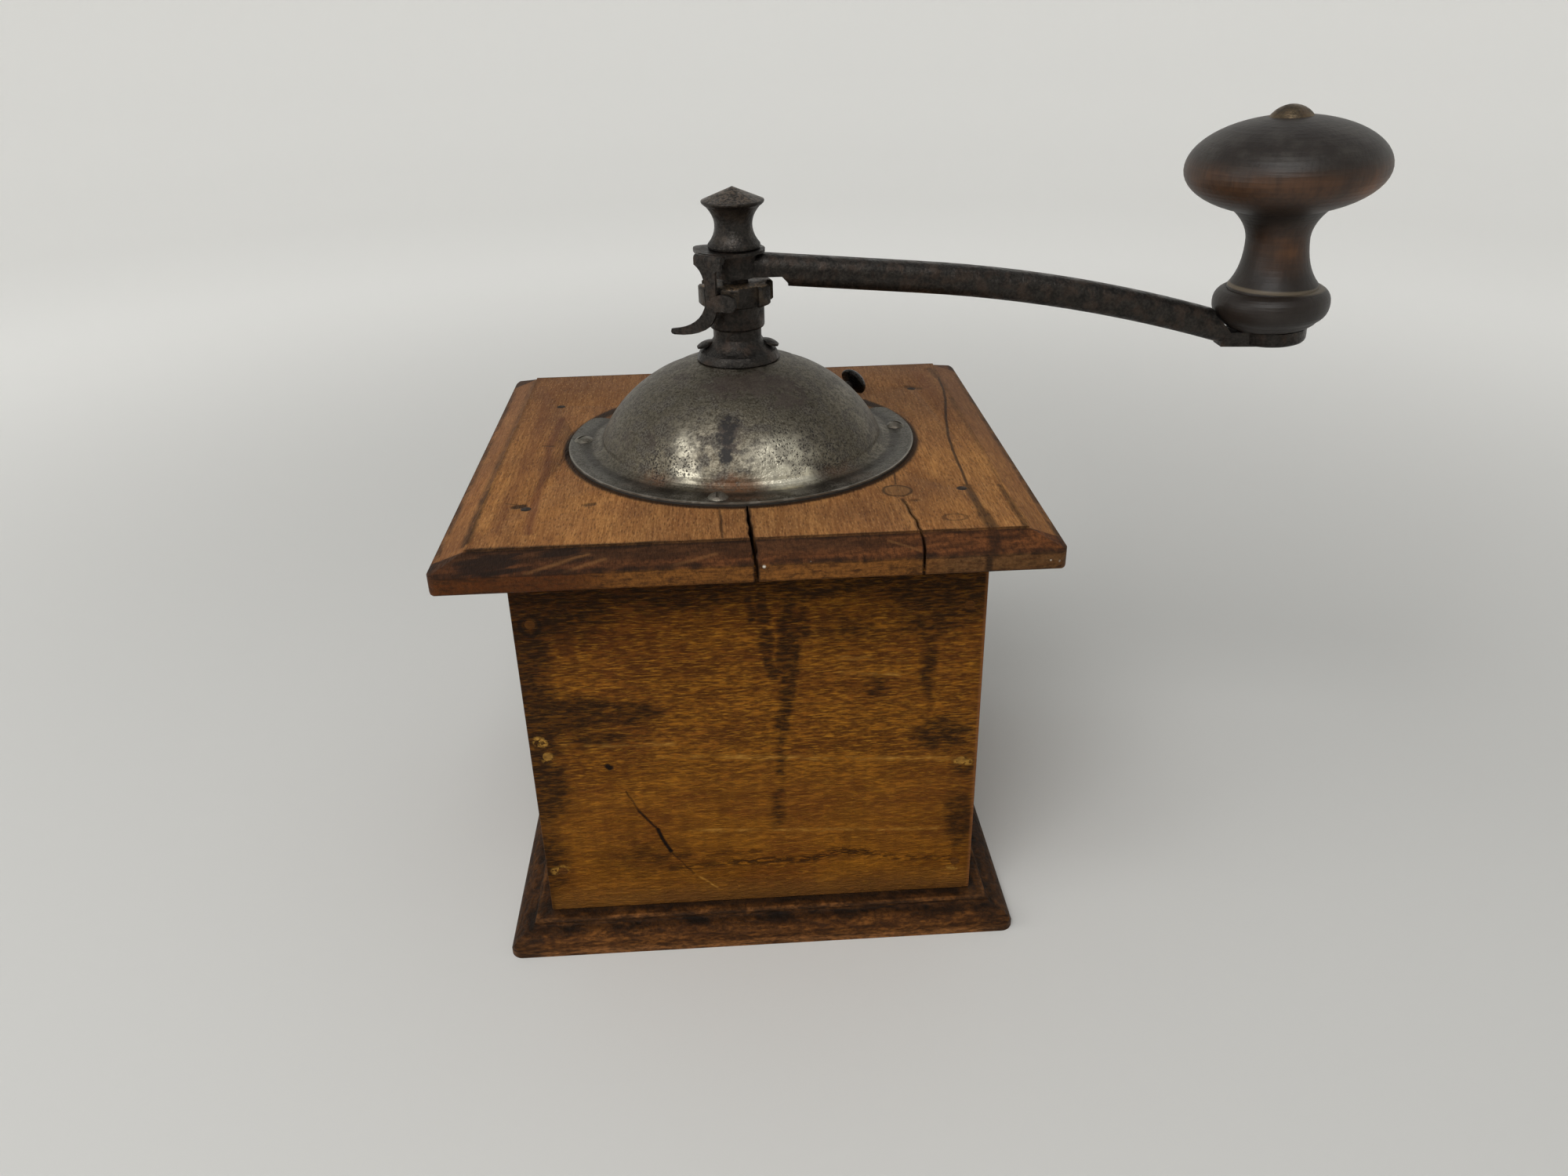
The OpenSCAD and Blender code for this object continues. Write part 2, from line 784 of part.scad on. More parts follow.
// Strap under the burrs that carries the foot of the spindle
module lower_bridge() {
  leg_top = box_h - ring_flange_t;
  reach = ring_screw_r + 3.4;
  color(iron)
    rotate([0, 0, ring_screw_angles[0]])
      difference() {
        union() {
          rotate([90, 0, 0])
            linear_extrude(bridge_w, center = true)
              polygon([
                [reach, leg_top], [reach, leg_top - bridge_foot_t],
                [bridge_leg_in + bridge_t, leg_top - bridge_foot_t],
                [bridge_leg_in + bridge_t, bridge_top - bridge_t],
                [-bridge_leg_in - bridge_t, bridge_top - bridge_t],
                [-bridge_leg_in - bridge_t, leg_top - bridge_foot_t],
                [-reach, leg_top - bridge_foot_t], [-reach, leg_top],
                [-bridge_leg_in, leg_top], [-bridge_leg_in, bridge_top],
                [bridge_leg_in, bridge_top], [bridge_leg_in, leg_top]]);
          translate([0, 0, bridge_top - bridge_boss_h])
            cylinder(r = bridge_boss_r, h = bridge_boss_h);
        }
        translate([0, 0, bridge_top - bridge_boss_h - over])
          cylinder(r = pivot_r + run_gap, h = bridge_boss_h + 2 * over);
        for (x = [-1, 1])
          translate([x * ring_screw_r, 0, leg_top - bridge_foot_t - over])
            cylinder(r = screw_r, h = bridge_foot_t + 2 * over);
      }
}

module ring_screws() {
  color(iron)
    for (i = [0 : len(ring_screw_angles) - 1]) {
      under = i % 2 == 0 ? bridge_foot_t : 0;
      rotate([0, 0, ring_screw_angles[i]])
        translate([ring_screw_r, 0, box_h - ring_flange_t - under])
          mirror([0, 0, 1])
            slotted_screw(flange_head_r - 0.2, head_h, screw_r - fixed_gap,
              ring_flange_t + under + ring_shank - 0.5);
    }
}

module adjuster_nut() {
  edge = 0.5;
  color(iron)
    difference() {
      rotate_extrude()
        polygon([[shaft_r + fixed_gap, collar_top], [nut_r - edge, collar_top], [nut_r, collar_top + edge],
          [nut_r, nut_top - edge], [nut_r - edge, nut_top], [shaft_r + fixed_gap, nut_top]]);
      for (i = [0 : nut_notches - 1])
        rotate([0, 0, notch_start + i * 360 / nut_notches])
          translate([nut_r - notch_d, -notch_w / 2, collar_top - over])
            cube([notch_d + over, notch_w, nut_h + 2 * over]);
    }
}

module spindle_shaft() {
  foot = bridge_top - bridge_boss_h;
  color(iron) {
    translate([0, 0, foot])
      cylinder(r = pivot_r, h = bridge_boss_h + pivot_gap);
    translate([0, 0, bridge_top + pivot_gap])
      cylinder(r = shaft_r, h = hub_z - bridge_top - pivot_gap);
    translate([-square_w / 2, -square_w / 2, hub_z])
      cube([square_w, square_w, hub_h + pawl_t - 0.1]);
    translate([0, 0, hub_z])
      cylinder(r = thread_r, h = hub_h + pawl_t + thread_len);
  }
}

// Inner burr: coarse helical ribs above a skirt of fine teeth
module burr_cone() {
  fine_top_r = cone_r - cone_slope * fine_h;
  color(cast)
    difference() {
      union() {
        translate([0, 0, ring_foot])
          linear_extrude(fine_h, twist = fine_twist, scale = fine_top_r / cone_r, slices = 4)
            polygon(star(cone_r, tooth_depth, fine_teeth));
        translate([0, 0, ring_foot + fine_h - 0.01])
          linear_extrude(cone_h - fine_h, twist = rib_twist, scale = cone_top_r / fine_top_r, slices = 8)
            polygon(star(fine_top_r - 0.2, rib_depth, feed_ribs));
        translate([0, 0, ring_foot])
          cylinder(r1 = fine_top_r - rib_depth, r2 = shaft_r + 2, h = cone_h + 2);
      }
      translate([0, 0, ring_foot - over])
        cylinder(r = shaft_r + fixed_gap, h = cone_h + 2 + 2 * over);
    }
}

module cone_nut() {
  color(iron)
    translate([0, 0, ring_foot - cone_nut_h])
      difference() {
        cylinder(r = cone_nut_r, h = cone_nut_h, $fn = 6);
        translate([0, 0, -over])
          cylinder(r = shaft_r + fixed_gap, h = cone_nut_h + 2 * over);
      }
}

// Local frame of the crank's eye: its top face, leaning with the pin
module at_eye() {
  translate([crank_r, 0, eye_z])
    rotate([0, -eye_lean, 0])
      children();
}

// Section of the arm: rounded above, eased below
module arm_section() {
  round_rect(arm_h, arm_w, arm_edge_r);
}

// Local frame of the bend where the arm's bow begins
module at_bend() {
  translate([arm_bend_x, 0, arm_bend_z])
    rotate([0, arm_slope, 0])
      children();
}

module crank_arm() {
  tongue_start = crank_r - arm_end_x + tongue_lap;
  neck_end = hub_r + arm_step;
  color(iron)
    difference() {
      union() {
        translate([0, 0, hub_z])
          cylinder(r = hub_r, h = hub_h);
        intersection() {
          at_bend()
            rotate([0, -90, 0])
              linear_extrude(arm_straight / cos(arm_slope))
                arm_section();
          rotate([90, 0, 0])
            linear_extrude(2 * arm_w, center = true)
              polygon([
                [0, hub_z], [neck_end - step_run / 2, hub_z], [neck_end + step_run / 2, hub_z - step_drop],
                [neck_end + step_run / 2, hub_z - arm_straight], [2 * arm_straight, hub_z - arm_straight],
                [2 * arm_straight, hub_top + arm_h], [washer_r + 2 * step_gap, hub_top + arm_h],
                [washer_r + step_gap, hub_top], [0, hub_top]]);
        }
        at_bend()
          translate([0, 0, -arm_bow_r])
            rotate([-90, -90, 0])
              rotate_extrude(angle = arm_end_slope - arm_slope, $fn = 360)
                translate([arm_bow_r, 0])
                  arm_section();
        translate([arm_end_x, 0, arm_end_z])
          rotate([0, arm_end_slope, 0])
            arm_toe();
        at_eye()
          eye_plate(tongue_start);
      }
      translate([-square_w / 2 - square_gap, -square_w / 2 - square_gap, hub_z - over])
        cube([square_w + 2 * square_gap, square_w + 2 * square_gap, hub_h + 2 * over]);
      at_eye() {
        translate([0, 0, -eye_t - over])
          cylinder(r = pin_r + fixed_gap, h = eye_t + 2 * over);
        rotate_extrude()
          polygon([[0, 0], [scoop_r - scoop_foot, 0], [scoop_r, scoop_h], [scoop_r, knob_h], [0, knob_h]]);
      }
    }
}

// End of the arm beyond its bow, straight, with a rounded lower corner
module arm_toe() {
  half = arm_h / 2 - toe_in;
  intersection() {
    rotate([0, -90, 0])
      translate([0, 0, -toe_run])
        linear_extrude(2 * toe_run)
          round_rect(2 * half, arm_w - 2 * toe_in, arm_edge_r);
    rotate([90, 0, 0])
      linear_extrude(2 * arm_w, center = true)
        polygon(concat([[-2 * toe_run, arm_h], [-2 * toe_run, -arm_h]],
          curve([toe_run - toe_round, -half], [toe_run, -half], [toe_run, toe_round - half], 5),
          [[toe_run, arm_h]]));
  }
}

// Forged eye under the knob, rounded below, with the tongue that joins it to the arm
module eye_plate(tongue_start) {
  translate([eye_shift, 0, -eye_t])
    rotate_extrude()
      polygon(concat([[0, 0], [eye_r - eye_round, 0]],
        curve([eye_r - eye_round, 0], [eye_r, 0], [eye_r, eye_round], 5), [[eye_r, eye_t], [0, eye_t]]));
  translate([0, 0, -eye_t])
    linear_extrude(eye_t)
      polygon([[-tongue_start, tongue_in - arm_w / 2], [-tongue_start, arm_w / 2 - tongue_in],
        [0, eye_r - eye_round - tongue_in / 2], [0, eye_round + tongue_in / 2 - eye_r]]);
}

// Clamped plate of the pawl spring, between the hub and the finial
module pawl_washer() {
  back = washer_r * 0.9;
  plate_end = bend_at - bend_r - 0.1;
  color(iron)
    difference() {
      union() {
        translate([0, 0, hub_top])
          cylinder(r = washer_r, h = pawl_t);
        translate([0, 0, hub_top])
          linear_extrude(pawl_t)
            rotate([0, 0, pawl_angle])
              polygon(concat([[plate_end, pawl_right], [plate_end, pawl_left]],
                curve([plate_end, pawl_left], [5, -11.6], [2.5, -11.4], 4),
                curve([2.5, -11.4], [0, -10.6], [-3, -back + 0.4], 4),
                [[0, 0], [2, back - 0.2]]));
      }
      translate([-square_w / 2 - square_gap, -square_w / 2 - square_gap, hub_top - over])
        cube([square_w + 2 * square_gap, square_w + 2 * square_gap, pawl_t + 2 * over]);
    }
}

// Turned nut that clamps the crank: pointed cap, hollow waist and flared foot
module finial_nut() {
  top = finial_z + finial_h;
  rim = top - 3.5;
  color(iron)
    difference() {
      rotate_extrude()
        polygon(concat(
          [[0, finial_z], [finial_foot_r - 0.5, finial_z]],
          curve([finial_foot_r - 0.5, finial_z], [finial_foot_r + 0.2, finial_z + 0.3],
            [finial_foot_r - 0.1, finial_z + 1.4], 4),
          curve([finial_foot_r - 0.1, finial_z + 1.4], [finial_waist_r, finial_z + 3.6],
            [finial_waist_r, finial_z + 6.2], 6),
          curve([finial_waist_r, finial_z + 6.2], [finial_waist_r, finial_z + 8.6],
            [finial_rim_r - 1.3, rim - 1.4], 6),
          curve([finial_rim_r - 1.3, rim - 1.4], [finial_rim_r + 0.2, rim - 0.5], [finial_rim_r - 0.2, rim + 0.1], 4),
          [[0, top]]));
      translate([0, 0, finial_z - over])
        cylinder(r = thread_r + fixed_gap, h = thread_len + over + 0.5);
    }
}

// Riveted pin through the knob, its foot peened under the eye
module handle_pin() {
  color(steel)
    at_eye() {
      translate([0, 0, -eye_t])
        cylinder(r = pin_r, h = eye_t + knob_lift + knob_h + rivet_clear + rivet_head_rise / 2);
      translate([0, 0, knob_lift + knob_h + rivet_clear])
        domed_head(rivet_r, rivet_head_rise);
      translate([0, 0, -eye_t])
        mirror([0, 0, 1])
          domed_head(pin_r + 1.4, 1);
    }
}

// Hanging leaf of the pawl spring: rolled bend, finger wing, curled tail and a tooth in a notch
module pawl_spring() {
  root = finial_z - bend_r;
  stamping = concat(
    [[pawl_left, root], [pawl_right, root], [pawl_right, root - 2.4], [leaf_right + 0.2, root - 2.8],
     [leaf_right, root - 3.4], [leaf_right, wing_high - 0.6]],
    curve([leaf_right, wing_high - 0.6], [leaf_right + 1.4, wing_high], [leaf_right + 3, wing_high], 3),
    curve([leaf_right + 3, wing_high], [wing_end, wing_high], [wing_end, wing_low + wing_h / 2], 6),
    curve([wing_end, wing_low + wing_h / 2], [wing_end, wing_low], [wing_end - 2.4, wing_low], 6),
    [[leaf_right, wing_low - 0.3]],
    curve([leaf_right, wing_low - 0.3], [leaf_right - 1.6, tail_low[1] + 1], tail_low, 8),
    curve(tail_low, [tail_tip[0] - 0.8, tail_low[1]], tail_tip, 3),
    curve(tail_tip, [leaf_left - 1.5, tail_tip[1] + 2], [leaf_left, wing_low + 1.6], 8),
    [[leaf_left, root - 7]],
    curve([leaf_left, root - 7], [leaf_left - 0.6, root - 3], [pawl_left, root - 1.6], 5));
  color(iron)
    rotate([0, 0, pawl_angle]) {
      translate([pawl_reach, 0, 0])
        rotate([90, 0, 90])
          linear_extrude(pawl_t)
            polygon(stamping);
      translate([bend_at, pawl_left, root])
        rotate([-90, 0, 0])
          cylinder(r = bend_r, h = pawl_right - pawl_left);
      translate([nut_r - tooth_bite, -tooth_w / 2 + 0.4, tooth_low])
        cube([pawl_reach - nut_r + tooth_bite + 0.1, tooth_w, tooth_h]);
    }
}

// Half section of the knob above the eye
function knob_section() = concat(
  [[pin_r + pin_gap, 0], [knob_foot_r, 0]],
  curve([knob_foot_r, 0], [knob_heel_r - 1.6, 0.2], [knob_heel_r, bead_z - 4.5], 4),
  curve([knob_heel_r, bead_z - 4.5], [knob_bead_r, bead_z - 3.3], [knob_bead_r, bead_z], 6),
  curve([knob_bead_r, bead_z], [knob_bead_r, groove_z - 1.4], [knob_step_r + 0.6, groove_z - 0.4], 6),
  [[knob_step_r, groove_z - 0.4], [knob_step_r - 0.2, neck_low_z]],
  curve([knob_step_r - 0.2, neck_low_z], [knob_waist_r, neck_low_z + 4.4], [knob_waist_r, neck_mid_z], 8),
  curve([knob_waist_r, neck_mid_z], [knob_waist_r + 0.3, neck_high_z - 3.6], [knob_step_r + 0.6, neck_high_z], 8),
  ellipse(knob_r, cap_drop - 0.6, cap_z, -acos((knob_step_r + 1) / knob_r), 0, 10),
  ellipse(knob_r, cap_drop + 0.5, cap_z, 6, acos(rivet_r / knob_r), 14),
  [[pin_r + pin_gap, knob_h]]);

module handle_knob() {
  color(dark_wood)
    at_eye()
      translate([0, 0, knob_lift])
        rotate_extrude()
          polygon(knob_section());
}

// Turning door inside the dome: a full eye round the boss, then the leaf behind the window
module shutter_leaf() {
  low = shell_side(sheet_t + leaf_gap, leaf_low, leaf_flat, dome_steps);
  inner = shell_side(sheet_t + leaf_gap + leaf_t, leaf_low, leaf_flat - leaf_t, dome_steps);
  eye_out = low[dome_steps][0];
  color(steel)
    difference() {
      union() {
        rotate([0, 0, window_from - leaf_lap])
          rotate_extrude(angle = window_angle + 2 * leaf_lap)
            polygon(concat(low, [[eye_out - 1, leaf_flat], [eye_out - 1, leaf_flat - leaf_t]],
              [for (i = [dome_steps : -1 : 0]) inner[i]]));
        rotate_extrude()
          polygon([[leaf_eye_r, leaf_flat], [eye_out - 0.5, leaf_flat],
            [eye_out - 0.5, leaf_flat - leaf_t], [leaf_eye_r, leaf_flat - leaf_t]]);
      }
      at_door_knob()
        translate([0, 0, -4])
          cylinder(r = stem_r + fixed_gap, h = 8);
    }
}

// Local frame of the door's knob: on the leaf's outside, square to it
module at_door_knob() {
  a = dome_r - sheet_t - leaf_gap;
  b = dome_h - sheet_t - leaf_gap;
  z = deck_z + door_knob_rise;
  r = a * sqrt(1 - pow((z - dome_z) / b, 2));
  lift = atan2((z - dome_z) / (b * b), r / (a * a));
  rotate([0, 0, door_knob_angle])
    translate([r, 0, z])
      rotate([0, 90 - lift, 0])
        children();
}

module shutter_knob() {
  top = stem_len + door_head_h;
  color(iron)
    at_door_knob()
      rotate_extrude()
        polygon(concat(
          [[0, -leaf_t - 0.9], [stem_r + 0.9, -leaf_t - 0.9], [stem_r + 0.9, -leaf_t - 0.1], [stem_r, -leaf_t - 0.1],
           [stem_r, 0.1], [stem_r + 0.8, 0.1], [stem_r + 0.2, 1.2], [stem_r, stem_len - 1.2],
           [door_head_r - 0.2, stem_len - 0.2], [door_head_r, stem_len], [door_head_r, stem_len + 0.6]],
          curve([door_head_r, stem_len + 0.6], [door_head_r - 0.6, top - 0.2], [0, top], 6)));
}

module drawer_front() {
  color(amber)
    difference() {
      translate([-face_w / 2, tray_front_y, face_z])
        cube([face_w, wall_t, face_h]);
      translate([0, tray_front_y - over, pull_z])
        rotate([-90, 0, 0])
          cylinder(r = pull_screw_r + fixed_gap, h = wall_t + 2 * over);
    }
}

// Side of the tray, standing on its floor
module drawer_side(side) {
  color(dark_beech)
    translate([side < 0 ? -tray_w / 2 : tray_w / 2 - drawer_side_t, tray_back_y, face_z + drawer_floor_t])
      cube([drawer_side_t, tray_front_y - tray_back_y, tray_h - drawer_floor_t]);
}

module drawer_left_side() {
  drawer_side(-1);
}

module drawer_right_side() {
  drawer_side(1);
}

module drawer_back() {
  color(dark_beech)
    translate([-tray_w / 2 + drawer_side_t, tray_back_y, face_z + drawer_floor_t])
      cube([tray_w - 2 * drawer_side_t, drawer_side_t, tray_h - drawer_floor_t]);
}

module drawer_floor() {
  color(dark_beech)
    translate([-tray_w / 2, tray_back_y, face_z])
      cube([tray_w, tray_front_y - tray_back_y, drawer_floor_t]);
}

// Small turned pull on the drawer's face
module drawer_pull() {
  color(dark_wood)
    translate([0, half_box, pull_z])
      rotate([-90, 0, 0])
        difference() {
          rotate_extrude()
            polygon(concat(
              [[0, 0], [pull_neck_r + 1.6, 0], [pull_neck_r + 1.6, 1]],
              curve([pull_neck_r + 1.6, 1], [pull_neck_r, 1.6], [pull_neck_r, 4.5], 5),
              curve([pull_neck_r, 4.5], [pull_neck_r, 6.6], [pull_r - 1, pull_len - 8], 5),
              curve([pull_r - 1, pull_len - 8], [pull_r, pull_len - 7.4], [pull_r, pull_len - 5.4], 4),
              curve([pull_r, pull_len - 5.4], [pull_r, pull_len - 0.6], [0, pull_len], 8)));
          translate([0, 0, -over])
            cylinder(r = pull_screw_r + fixed_gap, h = pull_screw_len - wall_t + 5 + over);
        }
}

module pull_screw() {
  color(iron)
    translate([0, tray_front_y, pull_z])
      rotate([90, 0, 0])
        slotted_screw(flange_head_r, head_h, pull_screw_r, pull_screw_len);
}

base_board();
front_wall();
back_wall();
left_wall();
right_wall();
left_runner();
right_runner();
chute_board();
top_board();
wall_nails();
top_nails();
base_screws();
hopper_dome();
bearing_collar();
collar_rivets();
flange_screws();
inner_arch();
arch_screws();
grinding_ring();
lower_bridge();
ring_screws();
adjuster_nut();
spindle_shaft();
burr_cone();
cone_nut();
crank_arm();
pawl_washer();
finial_nut();
handle_pin();
pawl_spring();
handle_knob();
shutter_leaf();
shutter_knob();
drawer_front();
drawer_left_side();
drawer_right_side();
drawer_back();
drawer_floor();
drawer_pull();
pull_screw();
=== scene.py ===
"""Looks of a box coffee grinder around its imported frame: worn beech boards, old iron, a turned knob."""

import math

import bmesh
import bpy
from bpy.props import FloatProperty, FloatVectorProperty, PointerProperty
from mathutils import Matrix, Vector


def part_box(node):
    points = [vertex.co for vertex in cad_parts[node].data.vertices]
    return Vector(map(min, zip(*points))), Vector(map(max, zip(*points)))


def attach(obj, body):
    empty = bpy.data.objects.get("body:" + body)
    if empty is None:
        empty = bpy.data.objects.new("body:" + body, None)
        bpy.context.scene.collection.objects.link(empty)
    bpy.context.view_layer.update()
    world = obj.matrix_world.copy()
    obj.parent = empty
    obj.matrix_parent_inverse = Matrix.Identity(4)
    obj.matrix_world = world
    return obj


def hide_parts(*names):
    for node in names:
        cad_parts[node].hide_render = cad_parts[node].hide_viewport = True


bl_info = {
    "name": "Box coffee grinder",
    "version": (1, 0, 0),
    "blender": (4, 5, 0),
    "location": "View3D > Sidebar > Grinder",
    "description": "Builds the worn wood, iron and stage of a box coffee grinder around its frame",
    "category": "Object",
}

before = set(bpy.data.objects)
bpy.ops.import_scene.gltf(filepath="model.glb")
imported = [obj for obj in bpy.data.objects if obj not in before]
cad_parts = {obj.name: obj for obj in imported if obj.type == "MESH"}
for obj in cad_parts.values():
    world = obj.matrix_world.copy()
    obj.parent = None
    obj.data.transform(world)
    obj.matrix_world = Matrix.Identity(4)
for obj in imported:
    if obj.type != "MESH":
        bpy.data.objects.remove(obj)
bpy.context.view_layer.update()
MM = 0.001

# Corners of the frame's pieces in millimetres: stains, cracks, rubbed places, painted shade and painted reflections are
# measured from them
BOARD_LOW, BOARD_HIGH = (Vector(corner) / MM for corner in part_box("top_board"))
WALL_LOW, WALL_HIGH = (Vector(corner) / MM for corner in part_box("front_wall"))
PLINTH_LOW, PLINTH_HIGH = (Vector(corner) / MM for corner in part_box("base_board"))
DOME_LOW, DOME_HIGH = (Vector(corner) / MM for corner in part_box("hopper_dome"))
KNOB_LOW, KNOB_HIGH = (Vector(corner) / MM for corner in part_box("handle_knob"))
NUT_LOW, NUT_HIGH = (Vector(corner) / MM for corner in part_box("adjuster_nut"))
FINIAL_LOW, FINIAL_HIGH = (Vector(corner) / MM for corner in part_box("finial_nut"))
BEVEL = 8.0
FLANGE = DOME_HIGH.x

# Main crack and right crack of the top board: x and y on the board, and half of the gap there as a share
MAIN_CRACK = ((0.1, -46, 0.25), (0.1, -51.4, 0.35), (0.3, -55, 0.6), (0.1, -57.4, 0.65), (0.6, -62, 0.7), (0.4, -65.3, 0.95),
              (0.9, -69, 0.9), (1.2, -71.5, 1.0), (0.9, -73.3, 0.65), (1.3, -75, 0.75), (1.2, -78, 0.8))
RIGHT_CRACK = ((39.3, -48.6, 0.1), (39.9, -53, 0.4), (40.0, -57.8, 0.5), (40.8, -62, 0.65), (40.6, -66, 0.6), (41.2, -70, 0.75),
               (41.0, -73.8, 0.9), (40.1, -78.2, 0.6))


def linear(hex_colour):
    """An sRGB hex colour as the linear red, green, blue and alpha that Blender works in."""
    channels = [int(hex_colour[i:i + 2], 16) / 255 for i in (1, 3, 5)]
    return [c / 12.92 if c <= 0.04045 else ((c + 0.055) / 1.055) ** 2.4 for c in channels] + [1.0]


def colour(label, text, default):
    """A colour property of the sidebar."""
    return FloatVectorProperty(name=label, description=text, subtype="COLOR", size=4, min=0.0, max=1.0,
                               default=linear(default))


class WoodColours(bpy.types.PropertyGroup):
    """Colours of the old beech."""

    board: colour("Board", "Bare worn beech of the top board", "#b9834b")
    board_dark: colour("Board grain", "Flecks of the top board", "#4b2c1a")
    wall: colour("Wall", "Ambered beech of the walls", "#a0651b")
    wall_dark: colour("Wall grain", "Darker strokes of the walls", "#3f2108")
    plinth: colour("Plinth", "Reddish beech of the plinth", "#7f5024")
    # also the colour of the board's painted shade: the shadow round the flange and the shade in the cracks
    grime_and_shade: colour("Grime", "Old dirt in the corners and round the iron", "#1c1510")
    filler: colour("Filler", "Yellow filler over some of the walls' nail heads", "#b8893d")
    raw: colour("Raw wood", "Unfinished beech inside the case", "#a07a4c")
    knob: colour("Knob", "Handled brown of the turned knob", "#774e2f")
    knob_dark: colour("Knob varnish", "Black-brown varnish left on the knob", "#251e19")


class IronColours(bpy.types.PropertyGroup):
    """Colours of the iron and steel."""

    # near-white of the dome's low front: rubbed steel with painted reflection
    bright: colour("Bright", "Rubbed steel of the dome", "#f2ead2")
    steel: colour("Steel", "Worn grey steel of the dome", "#8b8373")
    patina: colour("Patina", "Brown-grey skin of old steel", "#655d4e")
    dark: colour("Dark iron", "Blackened iron of the crank and collar", "#312e2b")
    rust: colour("Rust", "Thin brown rust", "#4a3627")
    burr: colour("Burr", "Cut iron of the burrs", "#5b5853")


class Wear(bpy.types.PropertyGroup):
    """Sizes of the wear on the boards."""

    arris: FloatProperty(name="Worn arris", description="Width of the rounding on the boards' edges",
                         default=0.5 * MM, min=0.1 * MM, max=1.5 * MM, unit="LENGTH")
    crack: FloatProperty(name="Main crack", description="Gap of the main crack at the board's edge",
                         default=1.3 * MM, min=0.2 * MM, max=3 * MM, unit="LENGTH")


class Studio(bpy.types.PropertyGroup):
    """Camera and lamps."""

    lens: FloatProperty(name="Lens", description="Focal length of the camera in millimetres, on a 36 mm sensor",
                        default=27.017, min=10, max=200)
    key: FloatProperty(name="Key lamp", description="Power of the large lamp above and in front of the mill",
                       default=9.0, min=0, unit="POWER")
    fill: FloatProperty(name="Fill lamp", description="Power of the lamp on the left", default=3.0, min=0,
                        unit="POWER")
    sky: FloatProperty(name="Room light", description="Strength of the room's even light", default=0.45, min=0)


def add(tree, kind, inputs=(), **settings):
    """Adds a node with its settings. An input takes a value, a socket, or a node's first output in use."""
    made = tree.nodes.new("ShaderNode" + kind)
    for key, value in settings.items():
        setattr(made, key, value)
    for key, value in dict(inputs).items():
        if isinstance(value, bpy.types.Node):
            value = next(output for output in value.outputs if output.enabled)
        if isinstance(value, bpy.types.NodeSocket):
            tree.links.new(value, made.inputs[key])
        else:
            made.inputs[key].default_value = value
    return made


def begin(name):
    """A new material: its tree, its shader, and the place on the object in millimetres."""
    material = bpy.data.materials.new(name)
    material.use_nodes = True
    tree = material.node_tree
    shader = tree.nodes["Principled BSDF"]
    coordinates = add(tree, "TexCoord")
    place = add(tree, "Mapping", {"Vector": coordinates.outputs["Object"], "Scale": (1 / MM,) * 3})
    return material, tree, shader, place


def paint(tree, shader, **sockets):
    """Sets or links the shader's own sockets, named with underscores."""
    for key, value in sockets.items():
        socket = shader.inputs[key.replace("_", " ")]
        if isinstance(value, bpy.types.Node):
            tree.links.new(next(output for output in value.outputs if output.enabled), socket)
        else:
            socket.default_value = value


def mottle(tree, place, size, low, high, detail=3.0, shift=(0, 0, 0)):
    """Cloudy mask with cells of the given size in millimetres: 0 below low and 1 above high."""
    cells = add(tree, "Mapping", {"Vector": place, "Scale": [1 / s for s in size], "Location": shift})
    cloud = add(tree, "TexNoise", {"Vector": cells, "Scale": 1.0, "Detail": detail, "Roughness": 0.6})
    return add(tree, "MapRange", {0: cloud, 1: low, 2: high, 3: 0.0, 4: 1.0}, interpolation_type="SMOOTHSTEP")


def flecks(tree, place, size, near, far, shift=(0, 0, 0)):
    """Mask of separate marks of the given spacing: 1 within near of their middles and 0 beyond far."""
    cells = add(tree, "Mapping", {"Vector": place, "Scale": [1 / s for s in size], "Location": shift})
    marks = add(tree, "TexVoronoi", {"Vector": cells, "Scale": 1.0, "Randomness": 1.0})
    return add(tree, "MapRange", {0: marks, 1: near, 2: far, 3: 1.0, 4: 0.0}, interpolation_type="SMOOTHSTEP")


def near_line(tree, place, start, end, near, far):
    """Mask along the straight line between two points: 1 within near millimetres and 0 beyond far."""
    along = Vector(end) - Vector(start)
    away = add(tree, "VectorMath", {0: place, 1: start}, operation="SUBTRACT")
    share = add(tree, "VectorMath", {0: away, 1: along / along.length_squared}, operation="DOT_PRODUCT")
    held = add(tree, "Clamp", {"Value": share})
    foot = add(tree, "VectorMath", {0: along, "Scale": held}, operation="SCALE")
    off = add(tree, "VectorMath", {0: away, 1: foot}, operation="DISTANCE")
    return add(tree, "MapRange", {0: off, 1: near, 2: far, 3: 1.0, 4: 0.0}, interpolation_type="SMOOTHSTEP")


def near_point(tree, place, centre, near, far):
    """Mask round a point: 1 within near millimetres and 0 beyond far."""
    off = add(tree, "VectorMath", {0: place, 1: centre}, operation="DISTANCE")
    return add(tree, "MapRange", {0: off, 1: near, 2: far, 3: 1.0, 4: 0.0}, interpolation_type="SMOOTHSTEP")


def wavy(tree, place, size, reach):
    """The place moved about by up to reach millimetres, in waves of the given size."""
    cells = add(tree, "Mapping", {"Vector": place, "Scale": [1 / s for s in size]})
    waves = add(tree, "TexNoise", {"Vector": cells, "Scale": 1.0, "Detail": 2.0})
    centred = add(tree, "VectorMath", {0: waves.outputs["Color"], 1: (0.5,) * 3}, operation="SUBTRACT")
    return add(tree, "VectorMath", {0: centred, 1: (2 * reach,) * 3, 2: place}, operation="MULTIPLY_ADD")


def ramp(tree, value, low, high):
    """Rises smoothly from 0 at low to 1 at high, or falls where low is the larger."""
    if low < high:
        ends = {1: low, 2: high, 3: 0.0, 4: 1.0}
    else:
        ends = {1: high, 2: low, 3: 1.0, 4: 0.0}
    held = add(tree, "MapRange", {0: value, **ends}, interpolation_type="SMOOTHSTEP")
    return add(tree, "Clamp", {"Value": held})


